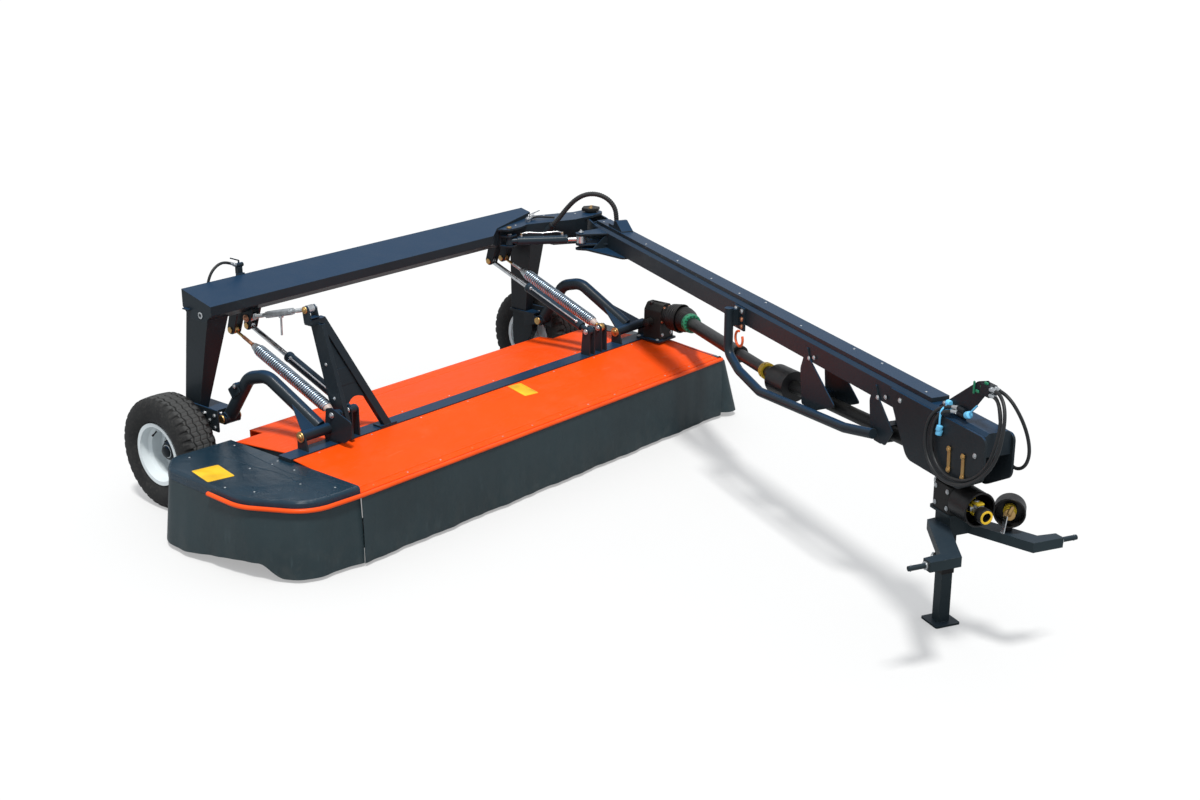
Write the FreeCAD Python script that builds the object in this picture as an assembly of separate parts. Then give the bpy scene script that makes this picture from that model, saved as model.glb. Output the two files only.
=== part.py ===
"""Side-pull trailed disc mower, 4.0 m cut, parked on its wheels and jack.

Axes while building: X runs along the main beam towards the machine's left, -Y is the
direction of travel, Z is up.  X = 0 is the middle of the main beam, Y = 0 the wheel
axles and Z = 0 the floor.  finish() then moves everything so that the origin is at the
middle of the bounding box, on the floor.  Sizes are millimetres.
"""
import FreeCAD, Part
import math
import os
from FreeCAD import Vector

# ---- driving dimensions ---------------------------------------------------------------
SEAT = 0.3                 # gap between pieces that seat on each other
RUN = 0.3                  # radial clearance of a pin in its eye

WHEEL_R = 380.0            # 10.0/75-15.3 tyre
TYRE_W = 264.0
RIM_R = 212.0
BEAD_R = 194.0
WHEEL_X = {-1: -1835.0, 1: 1720.0}     # wheel centres, right and left
AXLE_R = 25.0
HUB_L = 150.0              # hub, from the wheel's middle to its inner end

BEAM_END = {-1: -1660.0, 1: 1545.0}    # ends of the beam and outer faces of the legs
BEAM_FRONT = -306.0
BEAM_REAR = -10.0
BEAM_TOP = 1445.0          # top at the rear edge; it slopes down to the front edge
BEAM_TOP_FRONT = 1375.0
FOLD_FRONT = 1312.0        # lower edges of the upright faces
FOLD_REAR = 1330.0
BEAM_BOTTOM = 1262.0
BEAM_CHAMFER = 70.0        # how far the underside folds in from each face
BEAM_WALL = 8.0
CUT_LINE = [(880.0, BEAM_FRONT - 30), (1060.0, -215.0), (1575.0, -95.0)]   # cut at the left front corner

LEG_FOOT_Z = 640.0         # where the leg stands on its hub bracket
LEG_TOP_W, LEG_FOOT_W = 170.0, 70.0        # leg size across, at the beam and at the foot
LEG_TOP_REAR, LEG_FOOT_REAR = -45.0, 46.0
LEG_TOP_D, LEG_FOOT_D = 223.0, 153.0       # leg size fore and aft

ARM_X = {-1: -1530.0, 1: 1522.0}       # rear pivots of the lift arms, in front of the legs
ARM_LEAN = 150.0           # their front ends lie further left by this much
ARM_REAR = (-250.0, 590.0)     # (y, z) of the arm pivot on the hub bracket
ARM_FRONT = (-1000.0, 632.0)   # (y, z) of the header pivot
ARM_TUBE_R = 44.0
ARM_PIN_R = 20.0
ARM_EYE = 46.0             # half the width of the arm's rear eye
HINGE = {-1: (-1540.0, -1330.0), 1: (1528.0, 1828.0)}    # ends of the tubes round the header pivot
TOP_LINK_X = -1290.0
TOP_REAR = (-231.0, 1216.5)    # (y, z) of the top link pin under the beam
TOP_FRONT = (-834.0, 1382.0)   # (y, z) of the top link pin on the header's bracket
TOP_PIN_R = 12.5
CYLINDER_X = 1160.0        # lift cylinders, and float springs outside them
SPRING_X = 1296.0
LIFT_LOW = (-1040.0, 725.0)    # (y, z) of their pins on the header
LIFT_HIGH = (-50.0, 1100.0)    # (y, z) of their pins under the beam
LIFT_EYE = 20.0            # half the width of their eyes
SPRING_R = 42.0
ADJUSTER_R = 10.0
LIFT_PIN_R = 15.0
LIFT_DRIFT = 5.5           # room round the pins where the linkage is opened
TOP_DRIFT = 4.8

CUT_DISCS = 10
DISC_PITCH = 400.0
DISC_FIRST_X = -1960.0
DISC_Y = -1420.0
DISC_R = 155.0
KNIFE_R = 195.0            # knife tips
BAR_BOTTOM = 48.0
BAR_TOP = 96.0
SKID_BOTTOM = 10.0         # skids clear the floor while the mower is parked
SKIRT_BOTTOM = 22.0
SKIRT_T = 6.0
REAR_SKIRT_Y = -1390.0     # behind this the end curtains hang less deep
REAR_SKIRT_Z = 112.0

COVER_FRONT = -1700.0
COVER_REAR = -300.0
NOTCH_REAR = -440.0        # rear edge of the covers behind the lift arms
NOTCH_X = 1420.0
COVER_EDGE_Z = 480.0       # covers at their front and rear edges
COVER_RIDGE_Z = 540.0      # covers at the frame tube
COVER_T = 8.0
COVER_RIGHT = -1690.0      # seam between the front cover and the right end cover
COVER_LEFT = 1905.0
REAR_COVER_RIGHT = -1640.0
REAR_COVER_FRONT = -952.0  # behind the lift arm hinges
END_RIGHT = -2280.0        # outermost point of the right end cover
TUBE_FRONT = -1080.0       # header frame tube
TUBE_REAR = -960.0
TUBE_TOP = 545.0
TUBE_BOTTOM = 405.0
TUBE_RIGHT = -1706.0
TUBE_LEFT = 1880.0
RIB_X = (-1636.0, -880.0, -60.0, 760.0, 1540.0)
EDGE_R = 14.0              # orange tube along the front edge
EDGE_Y = COVER_FRONT - EDGE_R - SEAT
EDGE_Z = COVER_EDGE_Z - 14
END_WALL_Z = COVER_EDGE_Z - 26     # lower edge of the end covers
END_TOP_Z = COVER_RIDGE_Z - 18
PLATE_RIGHT = -2104.0      # plates that carry the ends of the cutterbar
PLATE_LEFT = 1800.0
END_PLATE_T = 12.0

SWIVEL = (1980.0, -350.0)  # drawbar swivel pin
SWIVEL_R = 30.0
SWIVEL_TOP = 1388.0
SWIVEL_BOTTOM = 1196.0
FORK_T = 18.0
DRAWBAR_ANGLE = -26.5      # drawbar as parked, from straight ahead, hitch to the right
DRAWBAR_L = 5450.0         # swivel pin to the front of the hitch plates
DRAWBAR_HALF_W = 80.0
DRAWBAR_BOTTOM = 1222.0
DRAWBAR_SIDE = 1335.0      # top of the upright sides
DRAWBAR_TOP = 1352.0
CAP_H = 26.0
SWING_FROM = (1140.0, -262.0)  # swing cylinder pin on the swivel arm
SWING_Z = 1290.0
SWING_LUG = (440.0, 262.0)     # rod eye: ahead of the swivel, and to the right of the drawbar
SWING_PIN_R = 12.0
SWING_ROD_R = 15.0
SWING_ROD_IN = 104.0       # inner end of the rod, and outer end of the barrel, from the arm's pin
SWING_BARREL_END = 440.0
SWING_DRIFT = 17.0         # the opened eye stays clear of its pin by this much

JOINT_G = (1830.0, -1420.0, 740.0)   # universal joint at the header gearbox
JOINT_D_S = 3200.0         # universal joint under the drawbar, ahead of the swivel
JOINT_D_Z = 945.0
PTO_R = 48.0               # guard tubes, rear and front
PTO_FRONT_R = 40.0
PTO_SHORT = 95.0           # how far the shaft ends short of the joint inside its bell
TRUNNION_R = 9.0           # universal joint: pins, fork ears from EAR_IN to EAR_OUT
EAR_IN, EAR_OUT, EAR_HALF, FORK_WEB = 28.0, 40.0, 18.0, 46.0
FORK_L = 62.0
BELL_R = 98.0
BELL_MOUTH = 90.0          # bell under the drawbar: from its mouth to the joint, and to its wall
BELL_BACK = 130.0
DRIVE_R = 42.0             # driveline tube under the drawbar

HITCH_S = 5090.0           # swivel of the hitch head, ahead of the drawbar swivel
HITCH_YAW = 0.0            # hitch head as parked, from the drawbar's direction
HEAD_LOW, HEAD_HIGH = 800.0, 955.0   # hitch gearbox
INPUT_Z = 882.0
INPUT_R = 17.45            # 1 3/8 in. splined input shaft
LINK_PIN_R = 14.2          # category 2 lower link pins
LINK_SPAN = 825.0          # between the shoulders of the link pins
LINK_Z = 700.0
LINK_Y = -380.0            # link pins, ahead of the hitch swivel
UPPER_SHAFT_Z = 1050.0     # input shaft of the upper gear head
PLATE_T = 14.0             # hitch side plates
SPARE_BELL = (168.0, -262.0, 848.0)    # mouth of the second bell, from the hitch swivel
JACK_S = 4850.0
JACK_W = 80.0
JACK_WALL = 5.0
JACK_LOW, JACK_TOP = 310.0, 1300.0
FOOT_HALF = 80.0
JACK_LEG_W = 69.2
JACK_X = DRAWBAR_HALF_W + PLATE_T + 2 * SEAT + JACK_W / 2   # outside the left side plate

# hoses: routes as points joined by straight runs and tangent arcs
HOSE_R = 9.5
BUNDLE_R = 19.0            # wrapped bundle over the swivel
BUNDLE_FROM = (1490.0, -341.0)     # (x, y) where it leaves the front of the swivel arm
BUNDLE_ANGLE = -61.45      # direction of its plane, seen from above
BUNDLE_GLAND = [(-45.0, 1286.0), (38.0, 1369.0)]   # (distance, z) in that plane
BUNDLE = [(38.3, 1369.3), (80.0, 1411.0), (138.0, 1490.0), (212.0, 1571.0), (292.0, 1617.0), (378.0, 1626.0),
          (456.0, 1600.0), (510.0, 1550.0), (537.0, 1484.0), (537.0, 1400.3)]
# (x, distance ahead of the drawbar swivel, z)
NEAR_LOOP = [(-62.3, 5150, 1404), (-82, 5066, 1392), (-112, 4994, 1334), (-126, 4962, 1240), (-130, 4968, 1142),
             (-130, 5022, 1058), (-130, 5116, 1012), (-130, 5226, 1012), (-130, 5338, 1046), (-128, 5440, 1104),
             (-123, 5528, 1182), (-113, 5584, 1284), (-100, 5594, 1388), (-86, 5586, 1470), (-68, 5550, 1538),
             (-56, 5494, 1577), (-54, 5452, 1584), (-54, 5410.3, 1584)]
INNER_LOOP = [(-62.3, 5150, 1380), (-94, 5090, 1376), (-113, 5032, 1322), (-114, 5000, 1226), (-112, 5012, 1120),
              (-112, 5072, 1056), (-112, 5160, 1030), (-112, 5264, 1042), (-112, 5366, 1082), (-112, 5454, 1146),
              (-108, 5516, 1230), (-102, 5546, 1320), (-90, 5554, 1402), (-74, 5536, 1474), (-60, 5492, 1531),
              (-54, 5450, 1552), (-54, 5410.3, 1552)]
FAR_LOOP = [(-28, 5410.3, 1584), (-28, 5470, 1584), (-16, 5522, 1560), (8, 5554, 1510), (46, 5572, 1430),
            (84, 5570, 1336), (112, 5548, 1244), (124, 5500, 1166), (126, 5424, 1128), (126, 5348, 1154),
            (124, 5304, 1220), (118, 5288, 1296), (110, 5284, 1368), (92, 5290, 1440), (58, 5300, 1498),
            (10, 5300, 1520), (-41.7, 5300, 1520)]
VALVE_HOSE = [(-1440, 14, 1330.3), (-1440, 14, 1396), (-1424, 14, 1460), (-1386, 14, 1514), (-1326, 14, 1546),
              (-1262, 14, 1540), (-1206.3, 14, 1512)]

RIGHT, LEFT = -1, 1


# ---- small tools ----------------------------------------------------------------------
def box(x0, x1, y0, y1, z0, z1):
    low = Vector(min(x0, x1), min(y0, y1), min(z0, z1))
    return Part.makeBox(abs(x1 - x0), abs(y1 - y0), abs(z1 - z0), low)


def rod(start, end, radius):
    start, end = Vector(*start), Vector(*end)
    return Part.makeCylinder(radius, (end - start).Length, start, end - start)


def x_rod(x0, x1, y, z, radius):
    return rod((x0, y, z), (x1, y, z), radius)


def z_rod(x, y, z0, z1, radius):
    return rod((x, y, z0), (x, y, z1), radius)


def path_edges(points, radii, closed):
    """Straight runs between the points, joined by tangent arcs of the given radii."""
    count = len(points)
    if not isinstance(radii, (list, tuple)):
        radii = [radii] * count
    starts, ends, middles = [], [], []
    for i, corner in enumerate(points):
        radius = radii[i]
        if radius <= 0 or (not closed and i in (0, count - 1)):
            starts.append(corner)
            ends.append(corner)
            middles.append(None)
            continue
        back = (points[i - 1] - corner).normalize()
        ahead = (points[(i + 1) % count] - corner).normalize()
        half = back.getAngle(ahead) / 2
        reach = radius / math.tan(half)
        centre = corner + (back + ahead).normalize() * (radius / math.sin(half))
        starts.append(corner + back * reach)
        ends.append(corner + ahead * reach)
        middles.append(centre + (corner - centre).normalize() * radius)
    edges = []
    for i in range(count):
        if middles[i] is not None:
            edges.append(Part.Arc(starts[i], middles[i], ends[i]).toShape())
        if i == count - 1 and not closed:
            break
        following = starts[(i + 1) % count]
        if ends[i].distanceToPoint(following) > 1e-6:
            edges.append(Part.LineSegment(ends[i], following).toShape())
    return edges


def pipe(points, radius, bend, inner=0.0):
    """A round tube along straight runs with tangent bends."""
    points = [Vector(*p) for p in points]
    path = Part.Wire(path_edges(points, bend, False))
    along = points[1] - points[0]
    solid = None
    for size in (radius, inner):
        if size <= 0:
            continue
        section = Part.Wire(Part.Circle(points[0], along, size).toShape())
        swept = path.makePipeShell([section], True, False)
        solid = swept if solid is None else solid.cut(swept)
    return solid


def slab(points, along, radii=0.0):
    """A flat outline of 3-D points, pushed along a vector."""
    wire = Part.Wire(path_edges([Vector(*p) for p in points], radii, True))
    return Part.Face(wire).extrude(Vector(*along))


def slab_yz(outline, x0, x1, radii=0.0):
    return slab([(x0, y, z) for y, z in outline], (x1 - x0, 0, 0), radii)


def slab_xy(outline, z0, z1, radii=0.0):
    return slab([(x, y, z0) for x, y in outline], (0, 0, z1 - z0), radii)


def slab_xz(outline, y0, y1, radii=0.0):
    return slab([(x, y0, z) for x, z in outline], (0, y1 - y0, 0), radii)


def frustum(low, high):
    """A solid between two four-cornered outlines whose sides are flat."""
    low, high = [Vector(*p) for p in low], [Vector(*p) for p in high]
    faces = [low, high] + [[low[i], low[(i + 1) % 4], high[(i + 1) % 4], high[i]] for i in range(4)]
    shell = Part.makeShell([Part.Face(Part.makePolygon(corners + corners[:1])) for corners in faces])
    solid = Part.makeSolid(shell)
    if solid.Volume < 0:
        solid.reverse()
    return solid


def turned_x(outline, centre):
    """A profile of (x, radius) points turned about an axis along X through centre."""
    cx, cy, cz = centre
    wire = Part.makePolygon([Vector(cx + x, cy, cz + r) for x, r in outline + outline[:1]])
    return Part.Face(wire).revolve(Vector(cx, cy, cz), Vector(1, 0, 0), 360)


def turned_z(outline, centre):
    """A profile of (radius, z) points turned about an upright axis through centre."""
    cx, cy = centre
    wire = Part.makePolygon([Vector(cx + r, cy, z) for r, z in outline + outline[:1]])
    return Part.Face(wire).revolve(Vector(cx, cy, 0), Vector(0, 0, 1), 360)


def join(shapes):
    shapes = list(shapes)
    return shapes[0].multiFuse(shapes[1:]).removeSplitter() if len(shapes) > 1 else shapes[0]


def group(shapes):
    """Solids that lie apart in one node."""
    solids = [s for shape in shapes for s in shape.Solids]
    return solids[0] if len(solids) == 1 else Part.makeCompound(solids)


def offset_line(points, distance):
    """An open run of (x, y) corners moved sideways to its left by a distance."""
    ways = []
    for a, b in zip(points, points[1:]):
        length = math.hypot(b[0] - a[0], b[1] - a[1])
        ways.append((-(b[1] - a[1]) / length, (b[0] - a[0]) / length))
    moved = []
    for i, (x, y) in enumerate(points):
        u, v = ways[max(i - 1, 0)], ways[min(i, len(ways) - 1)]
        scale = distance / (1 + u[0] * v[0] + u[1] * v[1])
        moved.append((x + (u[0] + v[0]) * scale, y + (u[1] + v[1]) * scale))
    return moved


def placed(shape, origin, along, across):
    """From axes X along, Z across at the origin to the given place and directions."""
    side = across.cross(along)
    frame = FreeCAD.Matrix(along.x, side.x, across.x, origin.x, along.y, side.y, across.y, origin.y,
                           along.z, side.z, across.z, origin.z, 0, 0, 0, 1)
    return shape.transformed(frame)


def fork(shaft_r, reach):
    """Universal joint fork at the origin, opening towards -X, on a shaft that reaches along +X."""
    pieces = [box(FORK_WEB, FORK_L, -EAR_HALF, EAR_HALF, -EAR_OUT, EAR_OUT),
              rod((FORK_WEB, 0, 0), (reach, 0, 0), shaft_r)]
    for side in (-1, 1):
        pieces.append(box(0, FORK_WEB, -EAR_HALF, EAR_HALF, side * EAR_IN, side * EAR_OUT))
        pieces.append(z_rod(0, 0, side * EAR_IN, side * EAR_OUT, EAR_HALF))
    return join(pieces).cut(z_rod(0, 0, -EAR_OUT - 2, EAR_OUT + 2, TRUNNION_R + RUN))


def hose(name, points, radius):
    """A hose along its route; each arc is as large as its two runs allow."""
    points = [Vector(*p) for p in points]
    radii = [0.0] * len(points)
    length = (points[-1] - points[-2]).Length
    for i in range(1, len(points) - 1):
        back, ahead = points[i] - points[i - 1], points[i + 1] - points[i]
        turn = back.getAngle(ahead)
        radii[i] = 0.45 * min(back.Length, ahead.Length) / math.tan(turn / 2)
        length += back.Length - radii[i] * (2 * math.tan(turn / 2) - turn)
    tube = pipe(points, radius, radii)
    share = tube.Volume / (math.pi * radius ** 2 * length)
    print("%s: length %.0f, smallest arc %.0f mm (%.1f diameters), volume share %.3f" %
          (name, length, min(radii[1:-1]), min(radii[1:-1]) / radius / 2, share))
    return tube


def on_drawbar(shape):
    """From the drawbar's own axes (swivel at 0, hitch towards -Y) to the parked pose."""
    shape = shape.copy()
    shape.rotate(Vector(0, 0, 0), Vector(0, 0, 1), DRAWBAR_ANGLE)
    shape.translate(Vector(SWIVEL[0], SWIVEL[1], 0))
    return shape


def on_hitch(shape):
    """From the hitch head's own axes (swivel at 0, tractor towards -Y) to the drawbar's."""
    shape = shape.copy()
    shape.rotate(Vector(0, 0, 0), Vector(0, 0, 1), HITCH_YAW)
    shape.translate(Vector(0, -HITCH_S, 0))
    return shape


def drawbar_point(x, y, z):
    angle = math.radians(DRAWBAR_ANGLE)
    return (SWIVEL[0] + x * math.cos(angle) - y * math.sin(angle),
            SWIVEL[1] + x * math.sin(angle) + y * math.cos(angle), z)


def drawbar_route(points):
    return [drawbar_point(x, -s, z) for x, s, z in points]


def bundle_route(points):
    angle = math.radians(BUNDLE_ANGLE)
    return [(BUNDLE_FROM[0] + d * math.cos(angle), BUNDLE_FROM[1] + d * math.sin(angle), z) for d, z in points]


def unit_yz(a, b):
    length = math.hypot(b[0] - a[0], b[1] - a[1])
    return (b[0] - a[0]) / length, (b[1] - a[1]) / length, length


def along_lift(distance):
    """(y, z) at a distance from the lower pin along the lift cylinder."""
    uy, uz, _ = unit_yz(LIFT_LOW, LIFT_HIGH)
    return LIFT_LOW[0] + uy * distance, LIFT_LOW[1] + uz * distance


def lift_rod(x, start, end, radius):
    y0, z0 = along_lift(start)
    y1, z1 = along_lift(end)
    return rod((x, y0, z0), (x, y1, z1), radius)


def clevis(x, half, thick, outline, radii, pin, pin_r):
    """Two plates either side of an eye, with the pin through them."""
    plates = [slab_yz(outline, x - half - thick, x - half, radii), slab_yz(outline, x + half, x + half + thick, radii)]
    return plates + [x_rod(x - half - thick - 2, x + half + thick + 2, pin[0], pin[1], pin_r)]


# ---- frame: beam, legs, hub brackets, swivel arm --------------------------------------
def beam_outline(inset=0.0):
    front, rear = BEAM_FRONT + inset, BEAM_REAR - inset
    return [(front, BEAM_TOP_FRONT - inset), (rear, BEAM_TOP - inset), (rear, FOLD_REAR + inset * 0.4),
            (rear - BEAM_CHAMFER, BEAM_BOTTOM + inset), (front + BEAM_CHAMFER, BEAM_BOTTOM + inset),
            (front, FOLD_FRONT + inset * 0.4)]


def corner_cut(inset=0.0):
    """The beam's left front corner is cut away where the swivel arm leaves it."""
    line = offset_line(CUT_LINE, inset)
    return slab_xy(line + [(line[-1][0], line[0][1])], BEAM_BOTTOM - 20, BEAM_TOP + 20)


def lift_hangers(side):
    """Plates under the beam for the rod's eye and for the spring adjuster's."""
    y, z = LIFT_HIGH
    outline = [(-150, BEAM_BOTTOM + 2), (-66, BEAM_BOTTOM + 2), (y + 32, z + 6), (y + 8, z - 28), (y - 26, z - 26)]
    pieces = []
    for x in (side * CYLINDER_X, side * SPRING_X):
        pieces += clevis(x, LIFT_EYE + 2, 10, outline, [0, 0, 20, 20, 20], LIFT_HIGH, LIFT_PIN_R)
    return pieces


def main_beam():
    outer = slab_yz(beam_outline(), BEAM_END[RIGHT], BEAM_END[LEFT])
    inner = slab_yz(beam_outline(BEAM_WALL), BEAM_END[RIGHT] + 10, BEAM_END[LEFT] - 10)
    beam = outer.cut(inner.cut(corner_cut(10))).cut(corner_cut())
    y, z = TOP_REAR
    outline = [(y - 55, BEAM_BOTTOM + 22), (y + 40, BEAM_BOTTOM + 2), (y + 26, z - 24), (y - 26, z - 24), (y - 48, z + 20)]
    hanger = clevis(TOP_LINK_X, 26, 12, outline, [0, 0, 20, 20, 20], TOP_REAR, TOP_PIN_R)
    # shut-off valve behind the beam's right end, and the block its hose comes up from
    x, y, z = VALVE_HOSE[-1]
    valve = [box(x + 6, x + 58, BEAM_REAR - 2, y + 6, z - 90, z - 60), box(x + 10, x + 50, y - 14, y + 14, z - 62, z - 18),
             x_rod(x + 6, x + 62, y, z - 6, 15), rod((x + 32, y, z), (x + 32, y, z + 26), 6),
             rod((x + 34, y, z + 24), (x - 34, y, z + 52), 4.5)]
    x, y, z = VALVE_HOSE[0]
    valve.append(box(x - 22, x + 22, BEAM_REAR - 2, y + 14, z - 40, z - SEAT))
    return join([beam] + lift_hangers(RIGHT) + lift_hangers(LEFT) + hanger + valve)


def leg(side):
    """Tapered box leg; its front wall runs on up to the beam's folded underside."""
    outer = BEAM_END[side]
    top = BEAM_BOTTOM + 40
    rings = []
    for wall in (0, 8):
        ring = []
        for z, wide, rear, deep in ((top, LEG_TOP_W, LEG_TOP_REAR, LEG_TOP_D),
                                    (LEG_FOOT_Z, LEG_FOOT_W, LEG_FOOT_REAR, LEG_FOOT_D)):
            x0, x1 = outer - side * wall, outer - side * (wide - wall)
            y0, y1 = rear - deep + wall, rear - wall
            ring.append([(x0, y0, z), (x1, y0, z), (x1, y1, z), (x0, y1, z)])
        rings.append(frustum(*ring))
    shape = rings[0].cut(rings[1])
    if side == LEFT:
        return shape.cut(box(0, 2 * outer, -500, 100, BEAM_BOTTOM, top + 10))
    return shape.cut(slab_yz(beam_outline(-SEAT), 2 * outer, 0))


def portal_legs():
    return group([leg(RIGHT), leg(LEFT)])


def hub_bracket(side):
    """Head plate under the leg, axle carrier, stub axle and the lift arm's clevis."""
    end, arm = BEAM_END[side], ARM_X[side]
    under = LEG_FOOT_Z - 18
    reach = ARM_EYE + 14
    x0, x1 = min(end + side * 16, arm - reach, end - side * 75), max(end + side * 16, arm + reach, end - side * 75)
    head = box(x0, x1, -205, 55, under, LEG_FOOT_Z)
    carrier = slab_yz([(-150, under), (55, under), (60, 450), (50, 320), (-60, 320), (-150, 480)],
                      end + side * 16, end - side * 45, [0, 0, 40, 40, 40, 40])
    axle = x_rod(end - side * 45, WHEEL_X[side] + side * 20, 0, WHEEL_R, AXLE_R)
    collar = x_rod(end - side * 10, WHEEL_X[side] - side * (HUB_L + 2), 0, WHEEL_R, 45)
    y, z = ARM_REAR
    outline = [(-100, under), (-205, under), (y - 36, z + 14), (y - 36, z - 36), (y + 40, z - 36), (-100, 520)]
    hinge = clevis(arm, ARM_EYE + 2, 12, outline, [0, 0, 18, 20, 20, 0], ARM_REAR, ARM_PIN_R)
    return join([head, carrier, axle, collar] + hinge)


def wheel_axles():
    return group([hub_bracket(RIGHT), hub_bracket(LEFT)])


def swivel_arm():
    """Box arm from the beam's cut corner to the fork that holds the swivel pin."""
    px, py = SWIVEL
    seam = offset_line(CUT_LINE, -2 * SEAT)
    rear = [seam[2], (1900, py + 95), (1900, py - 100)]
    body = slab_xy([(1085, seam[1][1] - 1)] + rear + [(1700, py - 85), (1200, -212)], BEAM_BOTTOM + SEAT, SWIVEL_TOP)
    start = BEAM_END[LEFT] + 10
    deep = slab_xy([(start, -110), (1880, py + 95), (1880, py - 100), (1700, py - 85), (start, -340)],
                   SWIVEL_BOTTOM, BEAM_BOTTOM + 10)
    sweep = z_rod(px, py, SWIVEL_BOTTOM + FORK_T, SWIVEL_TOP - FORK_T, 175)
    body = body.fuse(deep).cut(sweep)
    # top plate over the swing cylinder's rear pin, and the plate under it
    sx, sy = SWING_FROM
    front = [(1700, py - 85), (1330, -270), (sx + 100, sy - 32), (sx - 34, sy - 32), (sx - 60, sy + 20)]
    plates = [slab_xy([seam[1], seam[2], (1900, py + 95), (1900, py - 100)] + front, SWIVEL_TOP - 14, SWIVEL_TOP)]
    for z in (SWING_Z - 44, SWING_Z + 32):
        plates.append(slab_xy([(1085, -214), (1230, -200)] + [(sx + 70, sy - 20), (sx + 20, sy - 32), (sx - 24, sy - 32)],
                              z, z + 12, [0, 0, 20, 20, 20]))
    plates.append(z_rod(sx, sy, SWING_Z - 50, SWING_Z + 50, SWING_PIN_R))
    for z in (SWIVEL_BOTTOM, SWIVEL_TOP - FORK_T):
        outline = [(1800, py + 110), (px + 85, py + 85), (px + 85, py - 85), (1800, py - 100)]
        plates.append(slab_xy(outline, z, z + FORK_T, [0, 80, 80, 0]))
    pin = z_rod(px, py, SWIVEL_BOTTOM - 14, SWIVEL_TOP + 14, SWIVEL_R)
    head = z_rod(px, py, SWIVEL_TOP, SWIVEL_TOP + 14, SWIVEL_R + 16)
    gland = bundle_route(BUNDLE_GLAND)
    return join([body] + plates + [pin, head, rod(gland[0], gland[1], BUNDLE_R + 6)])


# ---- wheels ---------------------------------------------------------------------------
def tyre(side):
    half = TYRE_W / 2
    side_wall = [(-half * 0.765, BEAD_R + SEAT), (-half * 0.765, RIM_R + 2 * SEAT), (-half * 0.85, RIM_R + 2 * SEAT),
                 (-half * 0.91, BEAD_R + 38), (-half, 292),
                 (-half * 0.97, 332), (-half * 0.80, 364), (-half * 0.60, 374)]
    crown = []
    for groove in (-52, 0, 52):
        crown += [(groove - 7, 378), (groove - 4, 368), (groove + 4, 368), (groove + 7, 378)]
    profile = side_wall + crown + [(-x, r) for x, r in reversed(side_wall)]
    profile = [(x, WHEEL_R if r == 378 else r) for x, r in profile]
    return turned_x(profile, (WHEEL_X[side], 0, WHEEL_R))


def rim(side):
    """Deep rim with its disc near the inner edge, and the hub that turns on the axle."""
    out = side
    half = TYRE_W * 0.37
    barrel = [(-half - 14, RIM_R), (-half - 6, RIM_R), (-half - 4, BEAD_R), (-58, BEAD_R - 8), (-46, 166),
              (30, 166), (46, BEAD_R - 8), (half + 4, BEAD_R), (half + 6, RIM_R), (half + 14, RIM_R),
              (half + 12, BEAD_R - 8), (54, BEAD_R - 16), (36, 158), (-40, 158),
              (-52, 120), (-50, 84), (-40, 60), (10, 56), (10, AXLE_R + 12 + RUN), (22, AXLE_R + 12 + RUN),
              (22, 48), (34, 44), (34, 0.01), (26, 0.01), (26, AXLE_R + RUN), (-HUB_L, AXLE_R + RUN),
              (-HUB_L, 50), (-118, 62), (-60, 66), (-62, 124), (-58, 156),
              (-62, BEAD_R - 16), (-half - 12, BEAD_R - 8)]
    profile = [(out * x, r) for x, r in barrel]
    return turned_x(profile, (WHEEL_X[side], 0, WHEEL_R))


# ---- lift linkage ---------------------------------------------------------------------
def lift_arm(side):
    """Arched tube from the hub bracket down to a wide hinge on the header."""
    x = ARM_X[side]
    left, right = HINGE[side][1], HINGE[side][0]
    ry, rz = ARM_REAR
    fy, fz = ARM_FRONT

    def lean(y):
        return x + ARM_LEAN * (y - ry) / (fy - ry)
    centre = [(lean(y), y, z) for y, z in ((ry - 10, rz + 20), (ry - 185, rz + 300), (ry - 335, rz + 335),
                                           (fy + 20, fz + 22))]
    tube = pipe(centre, ARM_TUBE_R, [0, 110, 120, 0])
    rear_eye = x_rod(x - ARM_EYE, x + ARM_EYE, ry, rz, 40)
    front_eye = x_rod(right, left, fy, fz, 36)
    # web that spreads from the tube to the hinge
    rise = (rz + 335 - fz) / (ry - 335 - fy)
    web = [(right + 4, fy + 6), (left - 4, fy + 6), (lean(fy + 210) + 30, fy + 210),
           (lean(fy + 210) - 30, fy + 210)]
    fan = slab([(wx, wy, fz + 8 + (wy - fy) * rise) for wx, wy in web], (0, 0, 14))
    arm = join([tube, rear_eye, front_eye, fan])
    arm = arm.cut(x_rod(x - 60, x + 60, ry, rz, ARM_PIN_R + RUN))
    return arm.cut(x_rod(right - 10, left + 10, fy, fz, ARM_PIN_R + RUN))


def top_link():
    """Turnbuckle with an eye at each end and a hanging bar to turn it."""
    y0, z0 = TOP_REAR
    y1, z1 = TOP_FRONT
    uy, uz, length = unit_yz(TOP_REAR, TOP_FRONT)
    x = TOP_LINK_X

    def at(distance):
        return x, y0 + uy * distance, z0 + uz * distance
    pieces = [x_rod(x - 24, x + 24, y0, z0, 27), x_rod(x - 24, x + 24, y1, z1, 27),
              rod(at(10), at(length - 10), 13), rod(at(190), at(length - 190), 23)]
    hub = at(length * 0.52)
    pieces.append(rod(hub, (x, hub[1], hub[2] - 30), 16))
    pieces.append(rod(hub, (x, hub[1] + 4, hub[2] - 150), 7))
    link = join(pieces)
    for y, z, room in ((y0, z0, RUN), (y1, z1, TOP_DRIFT)):
        link = link.cut(x_rod(x - 30, x + 30, y, z, TOP_PIN_R + room))
    return link


def lift_eye(x, pin, room):
    """Blank of an eye on a lift cylinder or float spring, and the bore through it."""
    return (x_rod(x - LIFT_EYE, x + LIFT_EYE, pin[0], pin[1], 30),
            x_rod(x - 30, x + 30, pin[0], pin[1], LIFT_PIN_R + room))


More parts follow.
